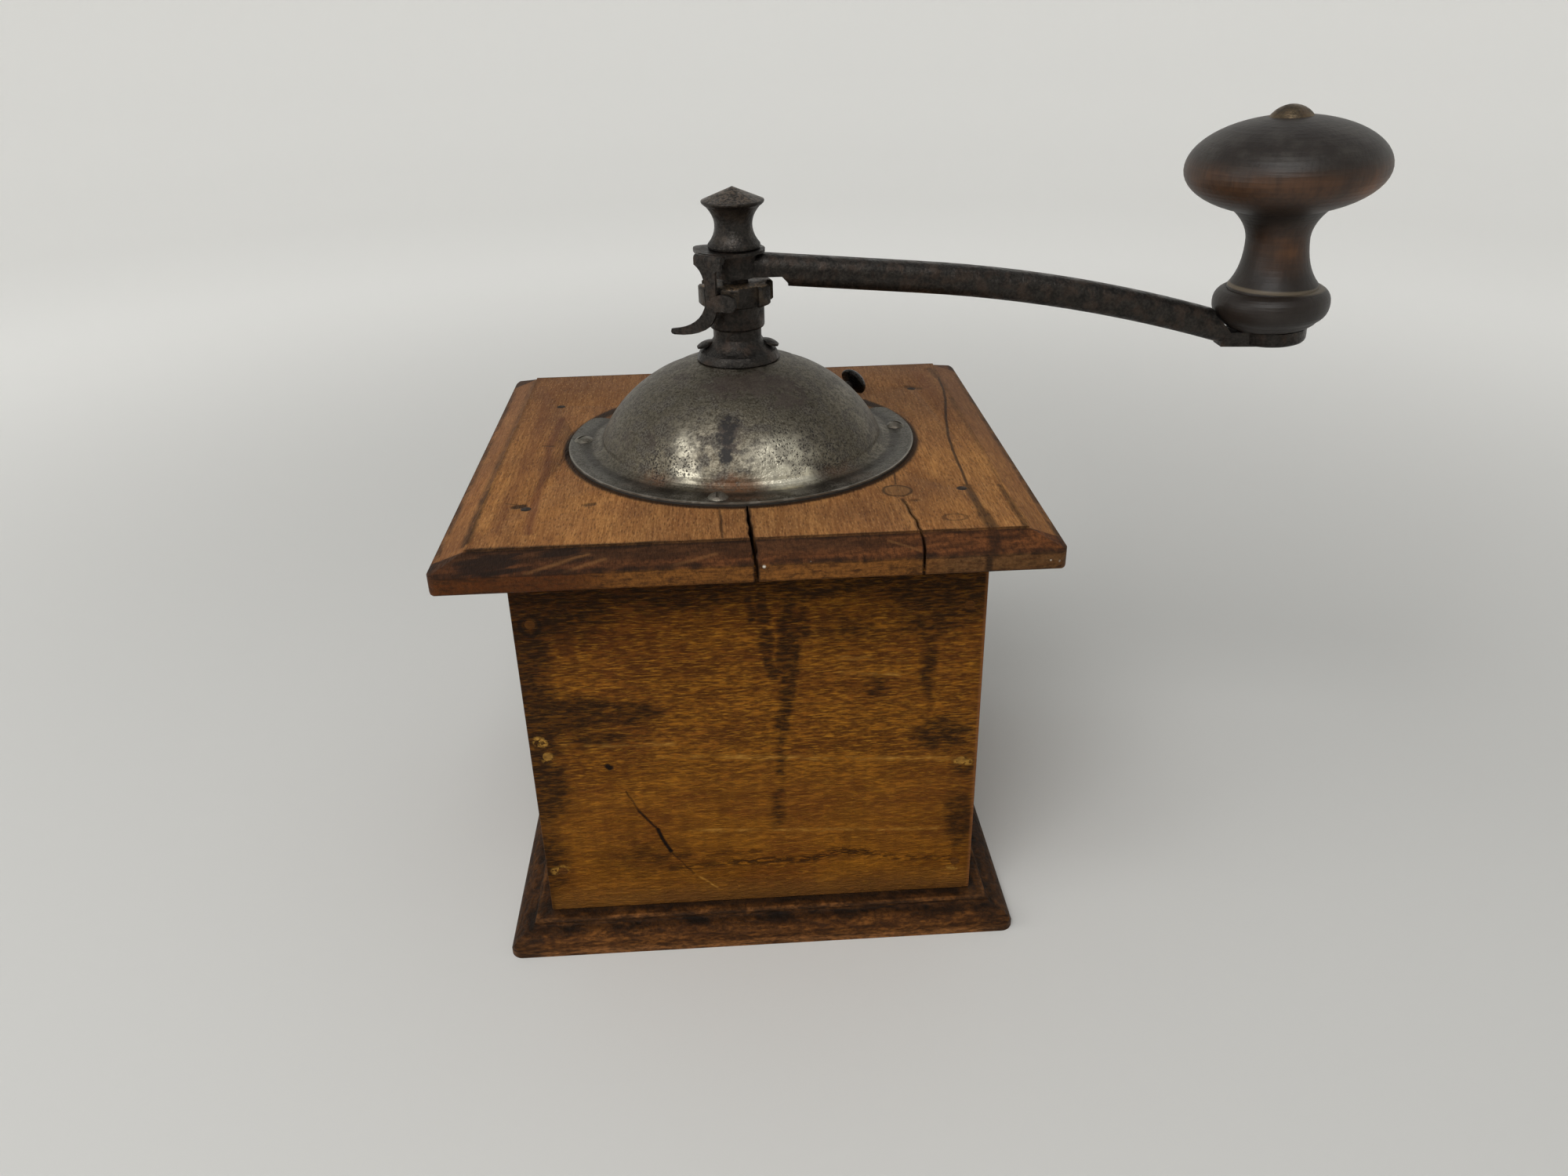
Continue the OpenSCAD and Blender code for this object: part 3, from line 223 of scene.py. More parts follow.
def most(tree, *masks):
    """The largest of several masks."""
    joined = masks[0]
    for mask in masks[1:]:
        joined = add(tree, "Math", {0: joined, 1: mask}, operation="MAXIMUM")
    return joined


def product(tree, *masks):
    """Several masks and shares multiplied together."""
    joined = masks[0]
    for mask in masks[1:]:
        joined = add(tree, "Math", {0: joined, 1: mask}, operation="MULTIPLY")
    return joined


def torn(tree, mask, uneven, softness=0.16):
    """A mask with its soft edges broken up by another, as dirt breaks along the grain."""
    weight = add(tree, "Math", {0: uneven, 1: 1.2, 2: 0.4}, operation="MULTIPLY_ADD")
    return ramp(tree, product(tree, mask, weight), 0.5 - softness, 0.5 + softness)


def blob(tree, place, centre, reach):
    """Mask that falls smoothly from 1 at a point to 0 at the given reaches along X, Y and Z."""
    away = add(tree, "VectorMath", {0: place, 1: centre}, operation="SUBTRACT")
    shares = add(tree, "VectorMath", {0: away, 1: [1 / r for r in reach]}, operation="MULTIPLY")
    off = add(tree, "VectorMath", {0: shares}, operation="LENGTH")
    return add(tree, "MapRange", {0: off, 1: 0.0, 2: 1.0, 3: 1.0, 4: 0.0}, interpolation_type="SMOOTHSTEP")


def along(tree, place, path, near, far):
    """Mask along a bent line through the given points."""
    return most(tree, *(near_line(tree, place, start, end, near, far) for start, end in zip(path, path[1:])))


def on_top(x, y):
    """A point of the board seen from above."""
    return x, y, 0.0


def on_front(x, z):
    """A point of the front wall seen from the front."""
    return x, 0.0, z


def strokes(tree, place, lift, *marks):
    """Mask of bent lines, each given as its share, where it is full, where it ends, and its points."""
    return most(tree, *(product(tree, along(tree, place, [lift(*point) for point in path], near, far), share)
                        for share, near, far, *path in marks))


def spots(tree, place, lift, *marks):
    """Mask of soft spots, each given as its share, its middle and its two reaches."""
    return most(tree, *(product(tree, blob(tree, place, lift(*middle), [r or 1.0 for r in lift(*reach)]), share)
                        for share, middle, reach in marks))


def layered(tree, base, *layers):
    """A colour with further colours laid over it, each a pair of mask and colour."""
    for mask, over in layers:
        base = add(tree, "Mix", {0: mask, 6: base, 7: over}, data_type="RGBA")
    return base


def relief(tree, shader, depth, *heights):
    """Bump of the given depth in metres from pairs of mask and share."""
    total = None
    for mask, share in heights:
        part = {0: mask, 1: share} if total is None else {0: mask, 1: share, 2: total}
        total = add(tree, "Math", part, operation="MULTIPLY" if total is None else "MULTIPLY_ADD")
    paint(tree, shader, Normal=add(tree, "Bump", {"Height": total, "Distance": depth, "Strength": 1.0}))


def board_beech(wood):
    """Bare beech, planed and handled for a century: short dark flecks along the grain, a soiled moulding, painted
    shadow round the flange and painted shade in the cracks.
    """
    material, tree, shader, place = begin("bare_worn_beech")
    bent = wavy(tree, place, (25, 90, 25), 1.0)
    ragged = wavy(tree, place, (5, 5, 5), 0.5)
    plan, still, torn_plan = (add(tree, "VectorMath", {0: each, 1: (1, 1, 0)}, operation="MULTIPLY")
                              for each in (bent, place, ragged))
    apart = add(tree, "SeparateXYZ", {0: place})
    across, height = apart.outputs[0], apart.outputs[2]
    side = add(tree, "Math", {0: across}, operation="ABSOLUTE")
    depth = add(tree, "Math", {0: apart.outputs[1]}, operation="ABSOLUTE")
    # fibres 0.6 mm apart, flecks 2.5 mm long and 1.1 mm apart, broad bands, all along Y
    fibre = mottle(tree, bent, (0.6, 9, 0.6), 0.3, 0.7, detail=4.0)
    band = mottle(tree, bent, (6, 90, 6), 0.35, 0.65, shift=(3, 1, 0))
    cloud = mottle(tree, place, (11, 16, 11), 0.36, 0.64, detail=4.0, shift=(1, 6, 3))
    fleck = product(tree, flecks(tree, bent, (0.62, 3.0, 0.62), 0.05, 0.45), mottle(tree, place, (6, 9, 6), 0.05, 0.5))
    small = product(tree, flecks(tree, bent, (0.4, 1.6, 0.4), 0.05, 0.45, shift=(4, 2, 0)), 0.45)
    light = product(tree, flecks(tree, bent, (0.7, 2.6, 0.7), 0.05, 0.4, shift=(2, 7, 0)), 0.35)
    shadow = mottle(tree, place, (16, 34, 16), 0.42, 0.66, detail=5.0, shift=(2, 3, 7))
    back = ramp(tree, apart.outputs[1], -35, 75)
    base = layered(tree, wood.board, (product(tree, band, 0.5), linear("#8d5c33")), (product(tree, cloud, 0.4), linear("#83583a")),
                   (product(tree, back, 0.6), linear("#694c38")), (product(tree, shadow, 0.4), linear("#5f4430")),
                   (product(tree, fibre, 0.6), linear("#63391a")), (light, linear("#c8995f")),
                   (most(tree, product(tree, fleck, 0.6), small), wood.board_dark))
    # red-brown streaks left of the dome, old marks of tools, nail holes and a filled plug
    red = strokes(tree, plan, on_top, (0.6, 0.3, 2.0, (-54.2, 24.5), (-55, 0.6), (-53.4, -16.2), (-53.3, -43), (-52.7, -60)),
                  (0.35, 0.3, 3.0, (-61, 50), (-60, 0), (-61, -60)), (0.3, 0.3, 4.0, (60, 60), (63, 10)))
    uneven = mottle(tree, bent, (4, 8, 4), 0.3, 0.62, detail=5.0)
    marks = strokes(tree, torn_plan, on_top, (0.9, 0.7, 1.6, (-58.2, -43.6), (-56.6, -43.2)), (0.5, 0.1, 0.5, (-61, -41), (-56, -43)),
                    (0.7, 0.5, 1.5, (-40.2, -44), (-38.8, -43.6)), (0.6, 0.2, 0.8, (-56.7, 0.8), (-53.8, 0.5)),
                    (0.6, 0.4, 2.4, (54.6, 43), (57.8, 41)), (0.5, 0.2, 1.2, (66.3, 29.8), (66.8, 28)),
                    (0.5, 0.3, 1.4, (41.8, -49.6), (42.8, -49.6)), (0.7, 0.1, 0.6, (-6.9, -50), (-6.5, -60.8), (-6.2, -67.3)))
    oval = add(tree, "VectorMath", {0: torn_plan, 1: (1, 1.5, 0)}, operation="MULTIPLY")
    oval_off = add(tree, "VectorMath", {0: oval, 1: (50.5, -91.5, 0)}, operation="DISTANCE")
    oval_rim = product(tree, ramp(tree, oval_off, 3.6, 3.0), ramp(tree, oval_off, 1.9, 2.7), 0.5)
    plug_off = add(tree, "VectorMath", {0: torn_plan, 1: (38.8, -42.9, 0)}, operation="DISTANCE")
    plug, plug_rim = ramp(tree, plug_off, 4.3, 3.6), ramp(tree, plug_off, 2.9, 3.6)
    # the front and back mouldings cut across the growth rings: grey above, red-brown below, black at the left end
    front = ramp(tree, depth, BOARD_HIGH.y - BEVEL - 0.3, BOARD_HIGH.y - BEVEL + 0.3)
    slanted = add(tree, "Mapping", {"Vector": bent, "Rotation": (0, math.radians(24), 0), "Scale": (0.3, 1, 2.2)})
    rings = mottle(tree, slanted, (5, 5, 1.2), 0.35, 0.65, detail=4.0)
    upper = product(tree, ramp(tree, depth, BOARD_HIGH.y - 1.5, BOARD_HIGH.y - 5), ramp(tree, across, 52, 20))
    specks = mottle(tree, place, (0.9, 1.2, 0.9), 0.4, 0.64, detail=5.0, shift=(2, 2, 2))
    smear = mottle(tree, bent, (9, 2.2, 1.6), 0.42, 0.62, detail=5.0, shift=(3, 9, 1))
    end_grain = layered(tree, linear("#774827"), (product(tree, rings, 0.55), linear("#4c2b18")),
                        (product(tree, ramp(tree, across, 5, -35), 0.5), linear("#4b2e1d")),
                        (product(tree, upper, 0.7), linear("#3f2b1c")), (product(tree, smear, 0.6), linear("#2f1d12")),
                        (product(tree, specks, 0.55), linear("#2a1a10")),
                        (strokes(tree, plan, on_top, (0.35, 0.1, 0.9, (-52, -75.8), (-38, -70.3)), (0.3, 0.1, 0.8, (-43, -75.6), (-34, -72)),
                                 (0.25, 0.1, 0.8, (-18, -75), (-8, -72)), (0.25, 0.1, 0.6, (32.9, -70), (40, -73.6))), linear("#96683c")),
                        (product(tree, torn(tree, spots(tree, still, on_top, (1, (-60, -72), (14, 9)), (0.7, (-44, -70), (16, 5))), rings, 0.3), 0.85),
                         linear("#231a15")))
    flank = ramp(tree, side, BOARD_HIGH.x - BEVEL - 0.3, BOARD_HIGH.x - BEVEL + 0.3)
    # the lip: red-brown at the left, golden in the middle with pale ticks, dull at the right
    lip = ramp(tree, height, BOARD_LOW.z + 4.9, BOARD_LOW.z + 4.4)
    ticks = flecks(tree, place, (2.6, 2.6, 12), 0.03, 0.08)
    lip_colour = layered(tree, linear("#835426"), (ramp(tree, across, -25, -45), linear("#572f14")),
                         (ramp(tree, across, 35, 50), linear("#68482a")),
                         (product(tree, mottle(tree, bent, (5, 5, 0.6), 0.4, 0.7), 0.7), linear("#54341b")),
                         (product(tree, mottle(tree, place, (4, 4, 1.5), 0.5, 0.66, detail=5.0), 0.7), linear("#2e1c10")),
                         (product(tree, specks, 0.45), linear("#332010")), (product(tree, ticks, 0.6), linear("#b98d55")))
    edge_line = product(tree, near_ring(tree, height, (BOARD_LOW.z + 4.7,), 0.7), uneven, 0.8)
    # dirt and painted shade: inner lines of the moulding, a painted shadow ring round the flange with dust inside it,
    # the long grain line
    radius = add(tree, "VectorMath", {0: still}, operation="LENGTH")
    dusty = add(tree, "Math", {0: mottle(tree, place, (9, 9, 9), 0.3, 0.7, detail=6.0, shift=(4, 4, 0)), 1: 0.4, 2: 0.3}, operation="MULTIPLY_ADD")
    flange_shadow_and_dust = product(tree, ramp(tree, radius, FLANGE + 2.3, FLANGE + 0.9), most(tree, ramp(tree, radius, FLANGE - 3.5, FLANGE - 1), dusty))
    long_line = strokes(tree, plan, on_top,
                        (0.5, 0.3, 1.8, (64.8, 62), (66, 52)), (0.85, 0.15, 0.6, (66.2, 52.2), (65.6, 39.3), (64.4, 28.7), (61.5, 11.8),
                                                                (59.3, -3.7), (58.3, -18.3), (57.6, -32.8), (57.1, -41.2)),
                        (0.75, 0.5, 1.6, (57.1, -41.2), (57.1, -51.1), (57.4, -58.6)), (0.75, 0.8, 2.3, (57.4, -58.6), (57.9, -66), (58.1, -70.2),
                                                                                   (57.8, -72.7)),
                        (0.8, 0.2, 0.9, (57.8, -72.7), (56.4, -75.6), (54.9, -77)))
    lines = strokes(tree, plan, on_top, (0.45, 0.3, 2.2, (-67.3, 66), (-67.6, 20)), (0.65, 0.4, 2.1, (-67.6, 20), (-68, -30)),
                    (0.85, 0.5, 2.0, (-68, -30), (-67.6, -64)), (0.9, 0.1, 1.3, (-66, -68.2), (-20, -68.2)),
                    (0.75, 0.1, 1.0, (-20, -68.2), (66, -68.2)), (0.8, 0.2, 1.3, (65.5, -42), (65.9, -54), (66, -67.8)),
                    (0.6, 0.3, 1.6, (59, -70.6), (65.4, -69.6)), (0.3, 0.2, 1.5, (66.5, 62), (66.5, -40)), (0.5, 0.2, 1.2, (-66, 68), (66, 68)))
    # painted shade in the cut cracks and beside them, and a dark line where the right crack runs on uncut
    cracks = most(tree, along(tree, still, [(x, y, 0) for x, y, share in MAIN_CRACK], 0.4, 1.1),
                  product(tree, along(tree, still, [(x, y, 0) for x, y, share in RIGHT_CRACK], 0.25, 0.8), 0.8),
                  strokes(tree, still, on_top, (0.8, 0.1, 0.45, (39.9, -30), (39.0, -38.6))))
    chipped = add(tree, "Math", {0: uneven, 1: 0.55, 2: 0.45}, operation="MULTIPLY_ADD")
    dirt_and_shade = most(tree, product(tree, lines, chipped), flange_shadow_and_dust, long_line, marks, product(tree, plug, plug_rim, 0.75), oval_rim,
                product(tree, cracks, 0.85), edge_line)
    pale = most(tree, *(near_point(tree, place, (x, y, BOARD_LOW.z + z), 0.15, r) for x, y, z, r in (
        (3.1, -76.2, 4.2, 0.6), (-8.6, -69.6, 7.2, 0.3), (14, -75.6, 5, 0.3), (72.8, -76.2, 2.2, 0.6), (70.5, -76.2, 2.6, 0.35))))
    colours = layered(tree, base, (red, linear("#5f3524")), (product(tree, flank, 0.25), linear("#7e5030")),
                      (product(tree, plug, 0.45), linear("#6f5233")), (front, end_grain), (lip, lip_colour),
                      (product(tree, dirt_and_shade, 0.92), wood.grime_and_shade), (pale, linear("#e4dccb")))
    paint(tree, shader, Base_Color=colours, Roughness=0.62, Specular_IOR_Level=0.09)
    relief(tree, shader, 0.18 * MM, (fleck, -0.6), (fibre, -0.5), (long_line, -1.0), (plug_rim, -0.3), (marks, -0.8))
    return material


def wall_beech(wood):
    """Varnished beech gone amber: short level strokes of light and dark grain, handled corners, soft runs of soiling,
    painted shade under the board and on the left side.
    """
    material, tree, shader, place = begin("ambered_beech")
    bent = wavy(tree, place, (30, 30, 8), 1.0)
    apart = add(tree, "SeparateXYZ", {0: place})
    across, height = apart.outputs[0], apart.outputs[2]
    # strokes 0.6 mm high and 3 mm long, light threads between them, broad tones of amber and red
    stroke = mottle(tree, bent, (2.8, 2.8, 0.6), 0.36, 0.62, detail=4.0)
    broad = mottle(tree, bent, (9, 9, 1.6), 0.38, 0.64, detail=3.0, shift=(1, 4, 6))
    thread = mottle(tree, bent, (3.5, 3.5, 0.42), 0.5, 0.68, detail=3.0, shift=(5, 0, 2))
    flame = mottle(tree, bent, (24, 24, 4.5), 0.38, 0.6, detail=4.0, shift=(2, 5, 1))
    upright = mottle(tree, place, (3, 3, 45), 0.4, 0.66, detail=3.0, shift=(7, 7, 0))
    red = mottle(tree, bent, (20, 20, 12), 0.42, 0.62, shift=(8, 5, 3))
    low = ramp(tree, height, 62, 38)
    high = product(tree, ramp(tree, height, 72, 102), ramp(tree, across, 25, -40))
    calm = add(tree, "Math", {0: low, 1: -0.35, 2: 0.85}, operation="MULTIPLY_ADD")
    base = layered(tree, wood.wall, (product(tree, flame, 0.65), linear("#6f3f0e")), (product(tree, red, 0.3), linear("#68331a")), (product(tree, high, 0.5), linear("#5c2c12")),
                   (product(tree, upright, 0.3), linear("#5a340c")), (product(tree, broad, 0.3), linear("#5c3511")),
                   (product(tree, stroke, calm, 0.95), wood.wall_dark), (product(tree, thread, calm, 0.65), linear("#c6872a")))
    # painted shade under the board, and dirt down the left corner, at the right, and in one run below the crack
    front = ramp(tree, apart.outputs[1], WALL_LOW.y + 1.5, WALL_LOW.y + 0.5)
    face = add(tree, "VectorMath", {0: place, 1: (1, 0, 1)}, operation="MULTIPLY")
    frayed = add(tree, "VectorMath", {0: wavy(tree, place, (6, 6, 6), 1.5), 1: (1, 0, 1)}, operation="MULTIPLY")
    ticks = mottle(tree, place, (5, 5, 0.9), 0.25, 0.55, detail=4.0, shift=(6, 0, 4))
    stains_and_shade = most(tree, spots(
        tree, frayed, on_front, (1.5, (-60, 109), (42, 24)), (1.1, (-20, 111), (44, 15)), (1.0, (20, 111), (44, 14)), (1.2, (52, 108), (34, 20)),
        (1.3, (-60, 92), (14, 16)), (1.7, (-60, 72), (15, 23)), (1.4, (-59, 50), (12, 20)), (1.1, (-61, 25), (12, 22)),
        (1.2, (-46, 73), (17, 8)), (0.9, (-33, 72.5), (17, 6)), (0.6, (-40, 65), (22, 6)), (0.7, (32, 77), (6, 7)), (0.9, (50, 61), (15, 9)),
        (0.8, (45.5, 82), (4, 17)), (0.8, (56, 32), (8, 19)), (0.4, (-32, 24), (26, 15)), (0.6, (57, 50), (7, 9)), (0.7, (46, 95), (18, 9)), (0.5, (25, 95), (20, 8))),
        product(tree, ticks, strokes(
            tree, frayed, on_front, (0.8, 0.4, 4.2, (9.6, 108), (9.2, 97)), (1.2, 0.7, 4.6, (9.4, 97), (8.8, 84)),
            (0.9, 0.3, 3.4, (8.8, 84), (8.6, 74), (7.2, 66)), (0.55, 0.1, 2.8, (7.2, 66), (6.2, 50)),
            (0.6, 0.2, 3.6, (5.4, 44), (5.0, 34)), (0.85, 0.2, 3.2, (2.6, 106), (3.4, 92), (4.8, 82)),
            (0.6, 0.2, 3.0, (12.6, 108), (13.2, 94)), (0.6, 0.2, 2.4, (-1, 107), (0, 99)))))
    grain = add(tree, "Math", {0: stroke, 1: 0.35, 2: 0.65}, operation="MULTIPLY_ADD")
    uneven = mottle(tree, bent, (6, 6, 1.8), 0.2, 0.7, detail=5.0, shift=(0, 3, 8))
    dirt_and_shade = product(tree, front, torn(tree, product(tree, stains_and_shade, 1.15), uneven, 0.48), grain)
    # painted shade along the top of the wall, under the board's overhang
    shade = product(tree, ramp(tree, height, WALL_HIGH.z - 7, WALL_HIGH.z), 0.75)
    dust = product(tree, ramp(tree, height, WALL_LOW.z + 11, WALL_LOW.z), 0.45)
    # worn light lines, the filled nail holes, and the crack with its knot
    hair = add(tree, "VectorMath", {0: wavy(tree, place, (4, 4, 4), 0.6), 1: (1, 0, 1)}, operation="MULTIPLY")
    light = product(tree, front, stroke, mottle(tree, place, (9, 9, 3), 0.35, 0.6, shift=(3, 0, 3)), strokes(
        tree, hair, on_front, (0.7, 0.1, 1.1, (-26, 58.3), (58, 52.3)), (0.6, 0.1, 1.0, (-51, 63.2), (-22, 61.9)),
        (0.6, 0.1, 0.9, (22, 86.3), (40, 84.6)), (0.6, 0.1, 0.9, (22, 81.6), (40, 80.1)), (0.8, 0.1, 0.5, (-19, 17.6), (-12.6, 12.3)),
        (0.5, 0.1, 0.9, (-20, 33), (50, 29))))
    cracks = product(tree, front, strokes(
        tree, hair, on_front, (1, 0.5, 1.3, (-40, 55.9), (-39.4, 55.3)), (0.6, 0.05, 0.4, (-35.7, 47.2), (-32.7, 40.5)),
        (0.9, 0.1, 0.55, (-32.7, 40.5), (-28.2, 33.9)), (1, 0.25, 0.8, (-28.2, 33.9), (-25.1, 26)), (0.5, 0.05, 0.4, (-25.1, 26), (-19, 17.6))))
    dashes = product(tree, front, ramp(tree, stroke, 0.25, 0.75), strokes(
        tree, hair, on_front, (0.7, 0.3, 1.6, (-25, 19.5), (-7, 20.9)), (0.95, 0.4, 2.0, (-7, 20.9), (15, 20.5), (21, 22.7), (30, 22)),
        (0.7, 0.3, 1.5, (30, 22), (39, 19.2), (55.5, 18)), (0.5, 0.2, 1.2, (-30, 24), (0, 24.5))))
    chip = mottle(tree, place, (1.1, 1.1, 0.9), 0.38, 0.55, detail=3.0)
    chips = product(tree, front, chip, strokes(
        tree, hair, on_front, (1, 0.9, 1.9, (-57.4, 64.9), (-56.4, 64.5)), (0.7, 0.5, 1.5, (-56.4, 59), (-55, 60)),
        (0.6, 0.8, 1.8, (-57.5, 21.2), (-55, 22)), (0.9, 0.4, 1.2, (54.4, 51.6), (58, 51.4)), (0.5, 0.3, 1, (53.6, 15), (55.6, 14.4))))
    ring_off = add(tree, "VectorMath", {0: hair, 1: (-55.5, 0, 99.7)}, operation="DISTANCE")
    ring = product(tree, front, ramp(tree, ring_off, 3.4, 2.8), ramp(tree, ring_off, 1.8, 2.4))
    # handled corners: red-brown and rubbed on the right; painted shade makes the left side black
    corner = add(tree, "Math", {0: across}, operation="ABSOLUTE")
    arris = product(tree, front, ramp(tree, corner, WALL_HIGH.x - 1.2, WALL_HIGH.x - 0.3), ramp(tree, across, -10, 10), 0.7)
    # painted shade on the left side of the case
    left = ramp(tree, across, WALL_LOW.x + 1.5, WALL_LOW.x + 0.5)
    clouds = mottle(tree, place, (22, 22, 22), 0.3, 0.7, shift=(9, 1, 4))
    # grime and painted shade: the stains, the shade under the board and the shade on the left side
    grime_and_shade = most(tree, dirt_and_shade, shade, product(tree, left, add(tree, "Math", {0: clouds, 1: 0.5, 2: 0.3}, operation="MULTIPLY_ADD")))
    colours = layered(tree, base, (dust, linear("#77542f")), (light, linear("#c8903f")), (product(tree, grime_and_shade, 0.88), linear("#201307")),
                      (product(tree, dashes, 0.8), linear("#241408")), (arris, linear("#8c5a34")), (chips, wood.filler),
                      (most(tree, cracks, product(tree, ring, 0.7)), linear("#1b1009")))
    paint(tree, shader, Base_Color=colours, Roughness=0.5, Specular_IOR_Level=0.08)
    relief(tree, shader, 0.28 * MM, (stroke, -0.7), (thread, 0.4), (cracks, -1.2), (dashes, -0.5), (chips, -0.8))
    return material


def plinth_beech(wood):
    """Reddish beech under old polish: dark in the moulding's hollows, rubbed on its bead and lip, with painted shadow
    at the foot of the walls.
    """
    material, tree, shader, place = begin("polished_dark_beech")
    bent = wavy(tree, place, (60, 20, 20), 1.0)
    apart = add(tree, "SeparateXYZ", {0: place})
    across, height = apart.outputs[0], apart.outputs[2]
    reach = most(tree, *(add(tree, "Math", {0: apart.outputs[axis]}, operation="ABSOLUTE") for axis in (0, 1)))
    ripple = mottle(tree, bent, (3.6, 3.6, 0.6), 0.36, 0.64, detail=5.0)
    grit = mottle(tree, place, (1.5, 1.5, 0.5), 0.42, 0.62, detail=5.0, shift=(6, 6, 1))
    blotch = mottle(tree, place, (8, 8, 1.1), 0.42, 0.66, detail=5.0, shift=(4, 4, 4))
    tone = mottle(tree, place, (28, 28, 9), 0.35, 0.65, shift=(3, 8, 1))
    # rubbed: the lip and the bead's crest; black: the quirk and both sides, and painted shadow at the foot of the walls
    crest = product(tree, ramp(tree, reach, WALL_HIGH.x + 3.0, WALL_HIGH.x + 3.7), ramp(tree, reach, WALL_HIGH.x + 4.6, WALL_HIGH.x + 4.2))
    rubbed = product(tree, most(tree, ramp(tree, height, 2.8, 1.2), crest), mottle(tree, place, (7, 7, 2), 0.15, 0.55), 0.75)
    quirk = product(tree, ramp(tree, reach, WALL_HIGH.x + 4.2, WALL_HIGH.x + 4.8), ramp(tree, reach, WALL_HIGH.x + 9, WALL_HIGH.x + 5.6))
    # painted shadow of the walls along their foot on the plinth
    foot = ramp(tree, reach, WALL_HIGH.x + 3.6, WALL_HIGH.x + 1.0)
    left = ramp(tree, across, WALL_LOW.x, WALL_LOW.x - 3)
    right = ramp(tree, across, WALL_HIGH.x, WALL_HIGH.x + 3)
    base = layered(tree, wood.plinth, (product(tree, tone, 0.5), linear("#4c2c15")), (product(tree, ripple, 0.7), linear("#321c0d")),
                   (rubbed, linear("#9c683b")), (product(tree, blotch, 0.7), linear("#23150b")),
                   (product(tree, grit, 0.55), linear("#24160c")))
    chipped = add(tree, "Math", {0: blotch, 1: 0.35, 2: 0.6}, operation="MULTIPLY_ADD")
    streak = product(tree, near_ring(tree, height, (6.5, 8.6), 0.9), mottle(tree, bent, (6, 6, 3), 0.35, 0.55, detail=4.0, shift=(1, 1, 9)), 0.75)
    dirt_and_shade = most(tree, product(tree, quirk, chipped), product(tree, foot, 0.75), streak, product(tree, left, 0.5), product(tree, right, 0.5))
    colours = layered(tree, base, (dirt_and_shade, linear("#191410")))
    paint(tree, shader, Base_Color=colours, Roughness=0.5, Specular_IOR_Level=0.08)
    relief(tree, shader, 0.2 * MM, (ripple, -0.6), (grit, -0.5), (blotch, -0.3))
    return material


def nail_filler(wood):
    """Filler pressed over the nail heads, stained brown like the wall, still yellow at one height."""
    material, tree, shader, place = begin("old_nail_filler")
    grain = mottle(tree, place, (2.4, 2.4, 0.6), 0.35, 0.65, detail=4.0)
    height = add(tree, "SeparateXYZ", {0: place}).outputs[2]
    yellow = product(tree, ramp(tree, height, 44, 48), ramp(tree, height, 68, 64), 0.85)
    colours = layered(tree, linear("#6b4219"), (yellow, wood.filler), (product(tree, grain, 0.7), linear("#40260f")))
    paint(tree, shader, Base_Color=colours, Roughness=0.65, Specular_IOR_Level=0.1)
    relief(tree, shader, 0.2 * MM, (grain, -1.0))
    return material


def raw_beech(wood):
    """Unfinished beech inside the case, dulled by coffee dust."""
    material, tree, shader, place = begin("raw_beech")
    bent = wavy(tree, place, (25, 90, 25), 1.5)
    grain = mottle(tree, bent, (1.6, 50, 1.6), 0.35, 0.7)
    fleck = flecks(tree, bent, (0.8, 2.8, 0.8), 0.1, 0.34)
    dust = mottle(tree, place, (25, 25, 25), 0.35, 0.7)
    colours = layered(tree, wood.raw, (product(tree, grain, 0.5), linear("#8a6238")),
                      (product(tree, fleck, 0.5), linear("#6b4526")), (product(tree, dust, 0.5), linear("#5d4028")))
    paint(tree, shader, Base_Color=colours, Roughness=0.75)
    relief(tree, shader, 0.12 * MM, (grain, 0.6), (fleck, -0.6))
    return material


def knob_beech(wood):
    """Turned beech under black-brown varnish, worn brown where the hand turns it, with fine lathe rings."""
    material, tree, shader, place = begin("varnished_turned_beech")
    bent = wavy(tree, place, (12, 12, 20), 1.5)
    height = add(tree, "SeparateXYZ", {0: place}).outputs[2]
    fibre = mottle(tree, bent, (1.2, 1.2, 9), 0.35, 0.7, detail=4.0)
    rings = mottle(tree, place, (60, 60, 0.9), 0.35, 0.65, detail=3.0)
    patch = mottle(tree, place, (13, 13, 6), 0.3, 0.7, detail=4.0, shift=(5, 2, 3))
    dust = mottle(tree, place, (7, 7, 4), 0.42, 0.7, detail=6.0, shift=(1, 9, 2))
    cap = KNOB_HIGH.z
    # the hand wears the belly, most on the right, and the foot of the neck; the crown keeps its varnish under dust
    belly = product(tree, ramp(tree, height, cap - 24, cap - 17), ramp(tree, height, cap - 9, cap - 14), 0.4)
    shoulder = blob(tree, place, (KNOB_HIGH.x - 10, -14, cap - 15.5), (26, 32, 8))
    neck = product(tree, blob(tree, place, (KNOB_HIGH.x - 25, -12, cap - 33), (14, 20, 10)), 0.6)
    worn = most(tree, belly, shoulder, neck)
    patchy = add(tree, "Math", {0: patch, 1: 0.6, 2: 0.5}, operation="MULTIPLY_ADD")
    rubbed = product(tree, worn, patchy, add(tree, "Math", {0: rings, 1: -0.25, 2: 1.0}, operation="MULTIPLY_ADD"))
    crown = product(tree, ramp(tree, height, cap - 14, cap - 6), dust, 0.4)
    groove = near_ring(tree, height, (KNOB_LOW.z + 12.0,), 0.7)
    colours = layered(tree, wood.knob_dark, (rubbed, wood.knob), (crown, linear("#46433c")), (product(tree, dust, 0.2), linear("#3d3732")),
                      (product(tree, fibre, 0.35), linear("#15100d")), (product(tree, groove, 0.7), linear("#6e6250")))
    paint(tree, shader, Base_Color=colours, Roughness=0.45, Specular_IOR_Level=0.35)
    relief(tree, shader, 0.05 * MM, (rings, 0.5), (fibre, -0.5), (patch, 0.5))
    return material


